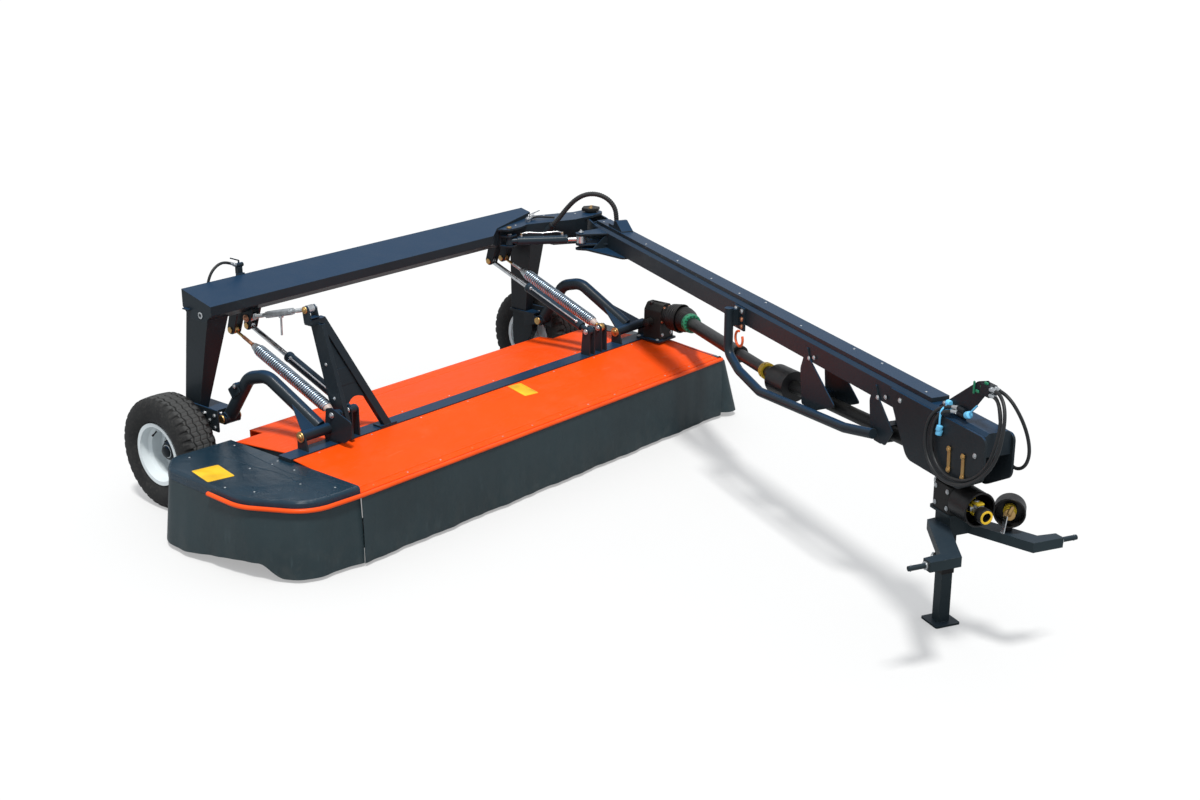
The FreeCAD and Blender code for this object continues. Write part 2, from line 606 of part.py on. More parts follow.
def lift_cylinder_barrels():
    pieces = []
    for side in (RIGHT, LEFT):
        x = side * CYLINDER_X
        eye, bore = lift_eye(x, LIFT_LOW, RUN)
        barrel = join([eye, lift_rod(x, 5, 80, 18), lift_rod(x, 70, 640, 34)])
        pieces.append(barrel.cut(lift_rod(x, 120, 700, 17 + RUN)).cut(bore))
    return group(pieces)


def float_springs():
    """The outer shape of each coil, with its lower plug and eye, round the adjuster rod."""
    pieces = []
    for side in (RIGHT, LEFT):
        x = side * SPRING_X
        eye, bore = lift_eye(x, LIFT_LOW, RUN)
        sleeve = join([eye, lift_rod(x, 5, 70, 14), lift_rod(x, 62, 810, SPRING_R)])
        pieces.append(sleeve.cut(lift_rod(x, 110, 830, ADJUSTER_R + RUN)).cut(bore))
    return group(pieces)


def upper_rods(offset, start, radius):
    """Rods that end in the eyes under the beam."""
    _, _, length = unit_yz(LIFT_LOW, LIFT_HIGH)
    pieces = []
    for side in (RIGHT, LEFT):
        x = side * offset
        eye, bore = lift_eye(x, LIFT_HIGH, LIFT_DRIFT)
        pieces.append(join([eye, lift_rod(x, start, length - 10, radius)]).cut(bore))
    return group(pieces)


def lift_cylinder_rods():
    return upper_rods(CYLINDER_X, 360, 17)


def spring_adjusters():
    return upper_rods(SPRING_X, 560, ADJUSTER_R)


# ---- header ---------------------------------------------------------------------------
def cover_z(y):
    """Height of the covers' top at a distance along the header."""
    if y < TUBE_FRONT:
        share = (TUBE_FRONT - y) / (TUBE_FRONT - COVER_FRONT)
    else:
        share = (y - TUBE_REAR) / (COVER_REAR - TUBE_REAR)
    return COVER_RIDGE_Z + (COVER_EDGE_Z - COVER_RIDGE_Z) * share


def disc_x(number):
    return DISC_FIRST_X + DISC_PITCH * number


def under_cover(y):
    return cover_z(y) - COVER_T - SEAT


def header_frame():
    outer = box(TUBE_RIGHT, TUBE_LEFT, TUBE_FRONT, TUBE_REAR, TUBE_BOTTOM, TUBE_TOP)
    inner = box(TUBE_RIGHT + 8, TUBE_LEFT - 8, TUBE_FRONT + 7, TUBE_REAR - 7, TUBE_BOTTOM + 7, TUBE_TOP - 7)
    pieces = [outer.cut(inner)]
    # ribs under the covers, out to the front edge tube and the rear edge
    for x in RIB_X:
        rear = COVER_REAR if abs(x + 4) < NOTCH_X - 20 else NOTCH_REAR
        for start, end in ((TUBE_FRONT - SEAT, COVER_FRONT + 3), (TUBE_REAR + SEAT, rear - 10)):
            root = start + math.copysign(4, start - end)
            outline = [(root, 470), (root, under_cover(start)), (start, under_cover(start)),
                       (end, under_cover(end)), (end, under_cover(end) - 20)]
            pieces.append(slab_yz(outline, x, x + 8))
    # plates down to the ends of the cutterbar, clear of the knives above it
    clear_y = DISC_Y + 162
    for x in (PLATE_RIGHT, PLATE_LEFT):
        outline = [(TUBE_REAR, TUBE_BOTTOM - 5), (TUBE_REAR, TUBE_TOP - 45), (TUBE_FRONT - 40, TUBE_TOP - 45),
                   (clear_y, BAR_TOP + 120), (clear_y, BAR_TOP), (-1400, BAR_TOP), (-1400, BAR_BOTTOM),
                   (-1200, BAR_BOTTOM), (-1150, 220)]
        pieces.append(slab_yz(outline, x, x + END_PLATE_T, [20, 20, 60, 60, 0, 0, 10, 60, 60]))
    under_end = END_TOP_Z - COVER_T - SEAT
    pieces.append(box(PLATE_RIGHT, TUBE_RIGHT + 2, TUBE_FRONT + 20, TUBE_REAR - 20, 430, under_end))
    pieces.append(box(TUBE_LEFT - 2, COVER_LEFT - COVER_T - SEAT, TUBE_FRONT + 20, TUBE_REAR + 60, 430, under_end))
    y, z = ARM_FRONT
    hinge = [(y - 60, TUBE_TOP - 2), (TUBE_REAR - 2, TUBE_TOP - 2), (y + 36, z + 8), (y + 10, z + 38),
             (y - 30, z + 32)]
    low_y, low_z = LIFT_LOW
    bracket = [(TUBE_FRONT + 5, TUBE_TOP - 2), (-990, TUBE_TOP - 2), (low_y + 32, low_z), (low_y, low_z + 32),
               (low_y - 34, low_z + 10)]
    for side in (RIGHT, LEFT):
        right, left = HINGE[side]
        pieces += clevis((right + left) / 2, (left - right) / 2 + 2, 12, hinge, [0, 0, 22, 22, 30], ARM_FRONT, ARM_PIN_R)
        for x in (side * CYLINDER_X, side * SPRING_X):
            pieces += clevis(x, LIFT_EYE + 2, 10, bracket, [0, 0, 15, 18, 18], LIFT_LOW, LIFT_PIN_R)
    # seat of the side gearbox at the left end
    pieces.append(box(1720, 1925, -1260, -1040, TUBE_TOP - 1, TUBE_TOP + 14))
    return join(pieces)


def a_bracket():
    """Leaning A-frame that carries the front pin of the top link; one leg stands beside the hinge."""
    y1, z1 = TOP_FRONT
    base = TUBE_TOP + SEAT
    top_y, top_z = y1 - 22, z1 - 60

    near = (-1226.0, TOP_LINK_X + 36)      # x of each leg at its foot and at the top
    far = (-880.0, TOP_LINK_X + 58)
    foot_y = -1056.0

    def on_leg(ends, share, side=0.0, ahead=0.0):
        return (ends[0] + (ends[1] - ends[0]) * share + side, foot_y + (top_y - foot_y) * share + ahead,
                base + (top_z - base) * share)

    def leg_between(ends, wide, deep):
        corners = [(-wide / 2, -deep / 2), (wide / 2, -deep / 2), (wide / 2, deep / 2), (-wide / 2, deep / 2)]
        return frustum(*[[on_leg(ends, share, side, ahead) for side, ahead in corners] for share in (0, 1)])
    pieces = [leg_between(near, 22, 40), leg_between(far, 60, 44)]
    # web between the legs, open in the middle
    for low, high in ((0.42, 0.56), (0.80, 0.98)):
        pieces.append(frustum(*[[on_leg(near, low, 0, ahead), on_leg(far, low, 0, ahead),
                                 on_leg(far, high, 0, ahead), on_leg(near, high, 0, ahead)] for ahead in (-6, 6)]))
    ears = [(y1 - 56, z1 - 90), (y1 + 16, z1 - 90), (y1 + 30, z1 + 4), (y1, z1 + 30), (y1 - 30, z1 + 4)]
    pieces += clevis(TOP_LINK_X, 26, 12, ears, [0, 0, 22, 22, 22], TOP_FRONT, TOP_PIN_R)
    pieces.append(box(TOP_LINK_X - 38, TOP_LINK_X + 70, y1 - 52, y1 + 12, z1 - 98, z1 - 60))
    pieces.append(box(far[0] - 70, far[0] + 70, -1078, -1000, base, base + 12))
    return join(pieces)


def cutterbar():
    """Flat gear housing with a round lobe under each disc."""
    right, left = PLATE_RIGHT + END_PLATE_T + SEAT, PLATE_LEFT - SEAT
    pieces = [box(right, left, DISC_Y - 60, DISC_Y + 118, BAR_BOTTOM, BAR_TOP)]
    for i in range(CUT_DISCS):
        pieces.append(z_rod(disc_x(i), DISC_Y, BAR_BOTTOM, BAR_TOP, 130))
    return join(pieces)


def skids():
    """Pressed skid under each disc, turned up at the front."""
    shoes = []
    for i in range(CUT_DISCS):
        x = disc_x(i)
        outline = [(DISC_Y + 110, SKID_BOTTOM), (DISC_Y - 100, SKID_BOTTOM), (DISC_Y - 168, 66),
                   (DISC_Y - 162, 72), (DISC_Y - 136, BAR_BOTTOM - SEAT), (DISC_Y + 110, BAR_BOTTOM - SEAT)]
        shoes.append(slab_yz(outline, x - 110, x + 110, [20, 60, 0, 0, 0, 0]))
    return group(shoes)


def cutting_disc(number):
    """Domed disc with two knives at its rim."""
    x = disc_x(number)
    base = BAR_TOP + SEAT
    dome = turned_z([(0, base), (46, base), (60, base + 12), (DISC_R, base + 12), (DISC_R, base + 18),
                     (110, base + 34), (60, base + 40), (0, base + 40)], (x, DISC_Y))
    pieces = [dome]
    for end in (-1, 1):
        outline = [(x + end * 110, DISC_Y - 22), (x + end * (KNIFE_R - 8), DISC_Y - 22),
                   (x + end * (KNIFE_R - 2), DISC_Y + 22), (x + end * 110, DISC_Y + 22)]
        pieces.append(slab_xy(outline, base + 7, base + 12.5))
    disc = join(pieces)
    disc.rotate(Vector(x, DISC_Y, 0), Vector(0, 0, 1), 90 * (number % 2))
    return disc


def cover_slab(y0, y1, x0, x1):
    outline = [(y0, cover_z(y0)), (y1, cover_z(y1)), (y1, cover_z(y1) - COVER_T), (y0, cover_z(y0) - COVER_T)]
    return slab_yz(outline, x0, x1)


def front_cover():
    return cover_slab(TUBE_FRONT - SEAT, COVER_FRONT, COVER_RIGHT, COVER_LEFT)


def rear_cover():
    """Cover behind the frame tube, shorter behind the lift arms, with its hanging flap."""
    left = COVER_LEFT - 120
    pieces = [cover_slab(REAR_COVER_FRONT, NOTCH_REAR, REAR_COVER_RIGHT, left),
              cover_slab(NOTCH_REAR - 5, COVER_REAR, -NOTCH_X, NOTCH_X)]
    for x0, x1, y in ((REAR_COVER_RIGHT, -NOTCH_X, NOTCH_REAR), (-NOTCH_X, NOTCH_X, COVER_REAR),
                      (NOTCH_X, left, NOTCH_REAR)):
        pieces.append(box(x0, x1, y - 6, y, COVER_EDGE_Z - 170, cover_z(y) - 1))
    return join(pieces)


def end_run():
    """Outer side of the right end cover in plan, from its front seam round to its rear seam."""
    seam = COVER_RIGHT - SEAT
    points = [(seam, COVER_FRONT), (END_RIGHT + 220, COVER_FRONT + 24), (END_RIGHT, DISC_Y + 120),
              (END_RIGHT + 20, -560), (END_RIGHT + 150, NOTCH_REAR + 20), (seam, NOTCH_REAR)]
    return points, [0, 260, 300, 120, 120, 0]


def end_slab(inset, z0, z1):
    """The plan of the right end, moved in by a distance, between two heights."""
    points, radii = end_run()
    seam = points[0][0]
    moved = offset_line(points, -inset)
    moved[0], moved[-1] = (seam, moved[0][1]), (seam, moved[-1][1])
    return slab_xy(moved, z0, z1, [max(r - inset, 0) for r in radii])


def end_cover_right():
    outer = end_slab(0, END_WALL_Z, END_TOP_Z)
    top_edges = [e for e in outer.Edges if e.BoundBox.ZMin > END_TOP_Z - 1 and e.BoundBox.XMin < COVER_RIGHT - 5]
    outer = outer.makeFillet(22, top_edges)
    cover = outer.cut(end_slab(COVER_T, END_WALL_Z - 1, END_TOP_Z - COVER_T))
    hinge = box(TUBE_RIGHT - 6, COVER_RIGHT + 60, TUBE_FRONT - 1, REAR_COVER_FRONT, 400, 600)
    return cover.cut(hinge)


def end_cover_left():
    x0, x1 = COVER_LEFT - 119, COVER_LEFT
    outer = box(x0, x1, TUBE_REAR + 1, -480, END_WALL_Z, END_TOP_Z)
    return outer.cut(box(x0 - 1, x1 - COVER_T, TUBE_REAR, -480 - COVER_T, END_WALL_Z - 1, END_TOP_Z - COVER_T))


def end_covers():
    return group([end_cover_right(), end_cover_left()])


def end_skirts():
    """Rubber curtains round both ends, shorter behind than in front."""
    top = END_WALL_Z - SEAT
    right = end_slab(1, SKIRT_BOTTOM, top).cut(end_slab(1 + SKIRT_T, SKIRT_BOTTOM - 1, top + 1))
    right = right.cut(box(2 * END_RIGHT, COVER_RIGHT + 20, REAR_SKIRT_Y, -400, 0, REAR_SKIRT_Z))
    right = right.cut(box(END_RIGHT + 200, COVER_RIGHT + 20, -700, -400, 0, COVER_EDGE_Z))
    x = COVER_LEFT + SEAT
    left = box(x, x + SKIRT_T, COVER_FRONT + 12, -480, SKIRT_BOTTOM, COVER_EDGE_Z + 4)
    left = left.cut(box(x - 1, x + SKIRT_T + 1, REAR_SKIRT_Y, -400, 0, REAR_SKIRT_Z))
    return group([right, left])


def bumper_tube():
    """Bent tube round the right end and along the front edge of the cover."""
    points, radii = end_run()
    away = EDGE_R + SEAT
    front, corner, side = offset_line(points, away)[:3]
    path = [(side[0] + 1, -1010, EDGE_Z + 12), (side[0], side[1], EDGE_Z + 4), (corner[0], corner[1], EDGE_Z),
            (front[0], EDGE_Y, EDGE_Z), (COVER_LEFT + 8, EDGE_Y, EDGE_Z)]
    return pipe(path, EDGE_R, [0, radii[2] + away, radii[1] + away, 400, 0])


def front_skirt():
    return box(COVER_RIGHT + 4, COVER_LEFT, EDGE_Y - SKIRT_T / 2, EDGE_Y + SKIRT_T / 2, SKIRT_BOTTOM,
               EDGE_Z - EDGE_R - SEAT)


def side_gearbox():
    """Bevel gearbox that turns the drive down to the cutterbar, with its output fork."""
    gx, gy, gz = JOINT_G
    base = TUBE_TOP + 14 + SEAT
    body = slab_xz([(gx - 80, base), (gx + 80, base), (gx + 74, gz + 40), (gx + 36, gz + 90),
                    (gx - 36, gz + 90), (gx - 74, gz + 40)], -1245, -1085, [0, 0, 18, 30, 30, 18])
    neck = rod((gx, -1240, gz), (gx, -1290, gz), 62)
    output = placed(fork(20, gy * -1 - 1240), Vector(*JOINT_G), Vector(0, 1, 0), Vector(0, 0, 1))
    return join([body, neck, output])


# ---- power take-off shaft between header and drawbar -----------------------------------
def pto_line():
    """Start, direction, length and the level axis across the shaft as parked."""
    start = Vector(*JOINT_G)
    reach = Vector(*drawbar_point(0, -JOINT_D_S, JOINT_D_Z)) - start
    way = Vector(reach).normalize()
    across = way.cross(Vector(0, 0, 1)).normalize()
    return start, way, reach.Length, across


def pto_yoke():
    """Cross of the universal joint: upright trunnions in the gearbox fork, level ones in the shaft's."""
    gx, gy, gz = JOINT_G
    start, _, _, across = pto_line()
    end = EAR_OUT - 2
    level = Part.makeCylinder(TRUNNION_R, 2 * end, start - across * end, across)
    return join([z_rod(gx, gy, gz - end, gz + end, TRUNNION_R), level, z_rod(gx, gy, gz - 20, gz + 20, 17)])


def joint_guard():
    """Cone guard round the joint, closed where it grips the shaft tube."""
    start, way, _, _ = pto_line()
    mouth, wall = -20, 200
    outer = Part.makeCone(95, 62, wall - mouth, start + way * mouth, way)
    inner = Part.makeCone(90, 56, wall - 14 - mouth, start + way * mouth, way)
    return outer.cut(inner).cut(Part.makeCylinder(PTO_R + SEAT, 40, start + way * (wall - 30), way))


def pto_shaft_rear():
    start, way, length, across = pto_line()
    tube = Part.makeCylinder(PTO_R, length * 0.60 - 80, start + way * 80, way)
    tube = tube.fuse(placed(fork(30, 90), start, way, across)).removeSplitter()
    return tube.cut(Part.makeCylinder(PTO_FRONT_R + RUN, length * 0.6, start + way * 160, way))


def pto_shaft_front():
    start, way, length, _ = pto_line()
    a, b = length * 0.34, length - PTO_SHORT - 60
    tube = Part.makeCylinder(PTO_FRONT_R, b - a, start + way * a, way)
    return join([tube, Part.makeCylinder(44, 60, start + way * b, way)])


# ---- drawbar --------------------------------------------------------------------------
def drawbar_beam():
    half, slope = DRAWBAR_HALF_W, 22
    outline = [(-half, DRAWBAR_BOTTOM), (half, DRAWBAR_BOTTOM), (half, DRAWBAR_SIDE), (half - slope, DRAWBAR_TOP),
               (-half + slope, DRAWBAR_TOP), (-half, DRAWBAR_SIDE)]
    outer = slab_xz(outline, -230, -DRAWBAR_L + 20)
    inner = [(x * 0.90, z + (6 if z < DRAWBAR_BOTTOM + 1 else -6)) for x, z in outline]
    beam = outer.cut(slab_xz(inner, -242, -DRAWBAR_L + 32))
    eye_z0, eye_z1 = SWIVEL_BOTTOM + FORK_T + 1, SWIVEL_TOP - FORK_T - 1
    pieces = [beam, z_rod(0, 0, eye_z0, eye_z1, 60)]
    for x in (-78, 66):
        sides = [(-20, eye_z0 + 4), (-20, eye_z1 - 4), (-140, eye_z1 - 4), (-420, DRAWBAR_SIDE - 10),
                 (-420, DRAWBAR_BOTTOM + 4), (-60, eye_z0 + 4)]
        pieces.append(slab_yz(sides, x, x + 12))
    pieces.append(box(-70, 70, -242, -225, DRAWBAR_BOTTOM + 8, eye_z1 - 8))
    pieces.append(box(-78, 78, -60, -20, eye_z0 + 4, eye_z1 - 4))
    # wide foot plate, with the lug of the swing cylinder on its right side and a gusset up to the beam
    s, n = SWING_LUG
    plate = [(-90, -205), (90, -205), (100, -860), (-100, -860), (-n + 20, -s - 60), (-n - 40, -s - 14),
             (-n - 40, -s + 24), (-n - 10, -s + 40)]
    pieces.append(slab_xy(plate, DRAWBAR_BOTTOM - 14, DRAWBAR_BOTTOM, [0, 0, 30, 30, 30, 20, 20, 20]))
    upper = [(-half + 2, -s - 90), (-half + 2, -s + 90), (-n - 30, -s + 38), (-n - 42, -s), (-n - 30, -s - 38)]
    pieces.append(slab_xy(upper, SWING_Z + 34, SWING_Z + 46, [0, 0, 20, 20, 20]))
    pieces.append(slab_xy(upper, SWING_Z - 46, SWING_Z - 34, [0, 0, 20, 20, 20]))
    gusset = [(-half + 2, DRAWBAR_BOTTOM - 2), (-n + 60, DRAWBAR_BOTTOM - 2), (-half + 2, DRAWBAR_SIDE - 4)]
    pieces.append(slab_xz(gusset, -s - 70, -s - 82))
    pieces.append(z_rod(-n, -s, DRAWBAR_BOTTOM - 14, SWING_Z + 50, SWING_PIN_R))
    body = join(pieces)
    body = body.cut(z_rod(0, 0, eye_z0 - 5, eye_z1 + 5, SWIVEL_R + RUN))
    return on_drawbar(body)


def drawbar_cap():
    half = DRAWBAR_HALF_W - 24
    z = DRAWBAR_TOP + SEAT
    outer = box(-half, half, -260, -4900, z, z + CAP_H)
    cap = outer.cut(box(-half + 5, half - 5, -265, -4895, z - 1, z + CAP_H - 5))
    # clamp that takes the hoses from over the swivel
    top, rest = z + CAP_H, BUNDLE[-1][1] - SEAT
    clamp = slab_yz([(-470, top - 1), (-470, rest), (-560, rest), (-580, rest + 44), (-612, rest + 44), (-720, top + 6),
                     (-720, top - 1)], -46, 46, [0, 6, 20, 12, 12, 10, 0])
    return on_drawbar(join([cap, clamp]))


def hitch_plates():
    """Large side plates bolted on the front of the drawbar."""
    plates = []
    for x in (-DRAWBAR_HALF_W - PLATE_T - SEAT, DRAWBAR_HALF_W + SEAT):
        outline = [(-4520, DRAWBAR_SIDE), (-4650, 1130), (-4750, 984), (-5240, 984), (-DRAWBAR_L, 1100),
                   (-DRAWBAR_L, DRAWBAR_SIDE)]
        plates.append(slab_yz(outline, x, x + PLATE_T, [20, 90, 90, 90, 60, 40]))
    return on_drawbar(group(plates))


def drive_axis(s):
    """Height of the driveline under the drawbar at a distance ahead of the swivel."""
    start, end = JOINT_D_S + BELL_BACK, HITCH_S - 240
    return JOINT_D_Z + 8 + (UPPER_SHAFT_Z - JOINT_D_Z - 8) * (s - start) / (end - start)


def drive_rod(s0, s1, radius):
    return rod((0, -s0, drive_axis(s0)), (0, -s1, drive_axis(s1)), radius)


def upper_gear_head():
    """Gear head between the side plates, on top of the hitch swivel."""
    half = DRAWBAR_HALF_W
    body = box(-half, half, -HITCH_S + 150, -HITCH_S - 130, 990, 1160)
    neck = z_rod(0, -HITCH_S, HEAD_HIGH + 20, 995, 60)
    shaft = rod((0, -HITCH_S + 150, UPPER_SHAFT_Z), (0, -HITCH_S + 240, UPPER_SHAFT_Z), 26)
    return on_drawbar(join([body, neck, shaft]))


def driveline_tube():
    return on_drawbar(drive_rod(JOINT_D_S + BELL_BACK + SEAT, HITCH_S - 244, DRIVE_R))


def driveline_hangers():
    """Two hangers: side plates on the drawbar and a block round the driveline."""
    hangers = []
    for s, back, ahead in ((3610, 3540, 3960), (4390, 4335, 4590)):
        z = drive_axis(s)
        pieces = [box(-DRAWBAR_HALF_W - 1, DRAWBAR_HALF_W + 1, -s - 70, -s, z - 50, z + 50)]
        for x in (-DRAWBAR_HALF_W - 8 - SEAT, DRAWBAR_HALF_W + SEAT):
            outline = [(-s, DRAWBAR_SIDE - 15), (-back, z + 180), (-back - 30, z - 40), (-back - 180, z - 40),
                       (-ahead, z + 60), (-s - 30, DRAWBAR_BOTTOM + 20)]
            pieces.append(slab_yz(outline, x, x + 8, [12, 60, 15, 15, 12, 60]))
        hangers.append(join(pieces).cut(drive_rod(s - 40, s + 110, DRIVE_R + SEAT)))
    return on_drawbar(group(hangers))


def driveline_bell():
    """Round guard over the universal joint under the drawbar, with the driveline's stub shaft."""
    s, back = JOINT_D_S, JOINT_D_S + BELL_BACK
    outer = drive_rod(s - BELL_MOUTH, back, BELL_R)
    inner = drive_rod(s - BELL_MOUTH - 1, back - 12, BELL_R - 6)
    return on_drawbar(outer.cut(inner).fuse(drive_rod(s + 24, back - 6, 18)).removeSplitter())


def guard_tube():
    """Bent tube that hangs beside the driveline, from the clamp on the drawbar to the second hanger."""
    n = -150
    points = [(n, -2700, 1320), (n, -2700, 1020), (n, -2860, 940), (n, -3150, 885), (n, -4180, 985),
              (-DRAWBAR_HALF_W - 39, -4440, 1030)]
    tube = pipe(points, 30, [0, 90, 90, 120, 150, 0])
    clamp = box(-DRAWBAR_HALF_W - PLATE_T - SEAT, -DRAWBAR_HALF_W - SEAT, -2660, -2800, 1180, 1330)
    arm = box(n, -DRAWBAR_HALF_W - 8, -2680, -2720, 1200, 1310)
    return on_drawbar(join([tube, clamp, arm]))


def jack_tube():
    """Square jack tube bolted on the outside of the left side plate."""
    half = JACK_W / 2
    hole = half - JACK_WALL
    outer = box(JACK_X - half, JACK_X + half, -JACK_S - half, -JACK_S + half, JACK_LOW, JACK_TOP)
    inner = box(JACK_X - hole, JACK_X + hole, -JACK_S - hole, -JACK_S + hole, JACK_LOW - 10, JACK_TOP - 8)
    return on_drawbar(outer.cut(inner))


def jack_leg():
    half = JACK_LEG_W / 2
    hole = half - JACK_WALL
    leg_part = box(JACK_X - half, JACK_X + half, -JACK_S - half, -JACK_S + half, 10, 700)
    leg_part = leg_part.cut(box(JACK_X - hole, JACK_X + hole, -JACK_S - hole, -JACK_S + hole, 14, 710))
    corners = [(JACK_X + i * FOOT_HALF, -JACK_S + j * FOOT_HALF) for i, j in ((-1, -1), (1, -1), (1, 1), (-1, 1))]
    return on_drawbar(leg_part.fuse(slab_xy(corners, 0, 12, 12)).removeSplitter())


def hose_rack():
    """Upright bracket at the front of the cap, with the couplers' sockets and the block the hoses hang from."""
    x = -DRAWBAR_HALF_W + 30
    outline = [(-4960, DRAWBAR_TOP + SEAT), (-5200, DRAWBAR_TOP + SEAT), (-5390, 1575), (-5380, 1620), (-5290, 1590)]
    pieces = [slab_yz(outline, x, x + 8, [0, 0, 15, 15, 20])]
    _, s, z = FAR_LOOP[0]
    pieces.append(box(-66, -16, -s + SEAT, -s + 74, z - 46, z + 14))
    for loop in (NEAR_LOOP, INNER_LOOP):
        cx, s, z = loop[0]
        pieces.append(rod((cx, -s - 6, z), (cx, -s - 64, z), 13))
        pieces.append(box(cx - 6, x + 2, -s - 20, -s - 44, z - 6, z + 6))
    return on_drawbar(join(pieces))


def hitch_hose_near():
    return hose("hitch_hose_near", drawbar_route(NEAR_LOOP), HOSE_R)


def hitch_hose_inner():
    return hose("hitch_hose_inner", drawbar_route(INNER_LOOP), HOSE_R)


def hitch_hose_far():
    return hose("hitch_hose_far", drawbar_route(FAR_LOOP), HOSE_R)


def swivel_hose():
    return hose("swivel_hose", bundle_route(BUNDLE), BUNDLE_R)


def valve_hose():
    return hose("valve_hose", VALVE_HOSE, HOSE_R)


# ---- hitch head -----------------------------------------------------------------------
def hitch_gearbox():
    body = slab_xy([(-75, 110), (75, 110), (75, -80), (-75, -80)], HEAD_LOW, HEAD_HIGH, 30)
    neck = z_rod(0, 0, HEAD_HIGH - 10, HEAD_HIGH + 20 - SEAT, 60)
    shaft = rod((0, -70, INPUT_Z), (0, -170, INPUT_Z), INPUT_R)
    return on_drawbar(on_hitch(join([body, neck, shaft])))


def hitch_crossbar():
    """Arms that sweep forward from under the gearbox to the link pins."""
    half = LINK_SPAN / 2
    top = slab_xy([(-80, 120), (80, 120), (80, -78), (-80, -78)], HEAD_LOW - 14 - SEAT, HEAD_LOW - SEAT, 20)
    post = box(-60, 60, -60, 80, LINK_Z - 20, HEAD_LOW - 10)
    pieces = [top, post]
    for side in (-1, 1):
        outline = [(0, 90), (side * 110, 80), (side * (half - 110), LINK_Y + 45), (side * half, LINK_Y + 32),
                   (side * half, LINK_Y - 34), (side * (half - 190), LINK_Y - 34), (side * 60, -60), (0, -60)]
        pieces.append(slab_xy(outline, LINK_Z - 28, LINK_Z + 28))
        pieces.append(x_rod(side * (half - 20), side * (half + 110), LINK_Y, LINK_Z, LINK_PIN_R))
    return on_drawbar(on_hitch(join(pieces)))


def hitch_bells():
    """Round guard over the input shaft, and a second one that waits on a post beside it."""
    back, wall, mouth = -80 - SEAT, -94, -230
    outer = rod((0, back, INPUT_Z), (0, mouth, INPUT_Z), 95)
    bell = outer.cut(rod((0, wall, INPUT_Z), (0, mouth - 1, INPUT_Z), 87))
    bell = bell.cut(rod((0, back + 1, INPUT_Z), (0, wall - 6, INPUT_Z), 22))
    centre = Vector(*SPARE_BELL)
    way = Vector(0.62, 0.78, 0.05).normalize()     # from the mouth to the closed end
    cup = Part.makeCylinder(84, 78, centre, way).cut(Part.makeCylinder(77, 69, centre - way, way))
    hub = Part.makeCylinder(24, 60, centre + way * 14, way)
    root = centre + way * 64
    post = z_rod(root.x, root.y, LINK_Z + 28 + SEAT, root.z, 20)
    return on_drawbar(on_hitch(group([bell, join([cup, hub, post])])))


# ---- swing cylinder -------------------------------------------------------------------
def swing_ends():
    s, n = SWING_LUG
    eye = drawbar_point(-n, -s, SWING_Z)
    return Vector(SWING_FROM[0], SWING_FROM[1], SWING_Z), Vector(*eye)


def swing_cylinder_barrel():
    start, end = swing_ends()
    way = (end - start).normalize()
    barrel = Part.makeCylinder(32, SWING_BARREL_END - 62, start + way * 62, way)
    eye = z_rod(start.x, start.y, SWING_Z - 28, SWING_Z + 28, 26)
    body = join([barrel, eye, Part.makeCylinder(22, 60, start + way * 5, way)])
    body = body.cut(Part.makeCylinder(SWING_ROD_R + RUN, SWING_BARREL_END, start + way * 74, way))
    return body.cut(z_rod(start.x, start.y, SWING_Z - 40, SWING_Z + 40, SWING_PIN_R + RUN))


def swing_cylinder_rod():
    start, end = swing_ends()
    way = (end - start).normalize()
    length = (end - start).Length
    body = join([Part.makeCylinder(SWING_ROD_R, length - SWING_ROD_IN - 20, start + way * SWING_ROD_IN, way),
                 z_rod(end.x, end.y, SWING_Z - 26, SWING_Z + 26, 41)])
    return body.cut(z_rod(end.x, end.y, SWING_Z - 40, SWING_Z + 40, SWING_PIN_R + SWING_DRIFT))


# ---- the whole machine ----------------------------------------------------------------
def build():
    nodes = {
        "main_beam": main_beam(),
        "portal_legs": portal_legs(),
        "wheel_axles": wheel_axles(),
        "swivel_arm": swivel_arm(),
        "tyre_right": tyre(RIGHT),
        "rim_right": rim(RIGHT),
        "tyre_left": tyre(LEFT),
        "rim_left": rim(LEFT),
        "lift_arms": group([lift_arm(RIGHT), lift_arm(LEFT)]),
        "top_link": top_link(),
        "lift_cylinder_barrels": lift_cylinder_barrels(),
        "float_springs": float_springs(),
        "lift_cylinder_rods": lift_cylinder_rods(),
        "spring_adjusters": spring_adjusters(),
        "header_frame": header_frame(),
        "a_bracket": a_bracket(),
        "cutterbar": cutterbar(),
        "skids": skids(),
        "front_cover": front_cover(),
        "rear_cover": rear_cover(),
        "end_covers": end_covers(),
        "end_skirts": end_skirts(),
        "bumper_tube": bumper_tube(),
        "front_skirt": front_skirt(),
        "side_gearbox": side_gearbox(),
        "joint_guard": joint_guard(),
        "pto_yoke": pto_yoke(),
        "pto_shaft_rear": pto_shaft_rear(),
        "pto_shaft_front": pto_shaft_front(),
        "drawbar_beam": drawbar_beam(),
        "drawbar_cap": drawbar_cap(),
        "hitch_plates": hitch_plates(),
        "upper_gear_head": upper_gear_head(),
        "driveline_tube": driveline_tube(),
        "driveline_hangers": driveline_hangers(),
        "driveline_bell": driveline_bell(),
        "guard_tube": guard_tube(),
        "jack_tube": jack_tube(),
        "jack_leg": jack_leg(),
        "hose_rack": hose_rack(),
        "hitch_gearbox": hitch_gearbox(),
        "hitch_crossbar": hitch_crossbar(),
        "hitch_bells": hitch_bells(),
        "swing_cylinder_barrel": swing_cylinder_barrel(),
        "swing_cylinder_rod": swing_cylinder_rod(),
        "hitch_hose_near": hitch_hose_near(),
        "hitch_hose_inner": hitch_hose_inner(),
        "hitch_hose_far": hitch_hose_far(),
        "swivel_hose": swivel_hose(),
        "valve_hose": valve_hose(),
    }
    for number in range(CUT_DISCS):
        nodes["disc_%02d" % (number + 1)] = cutting_disc(number)
    return nodes


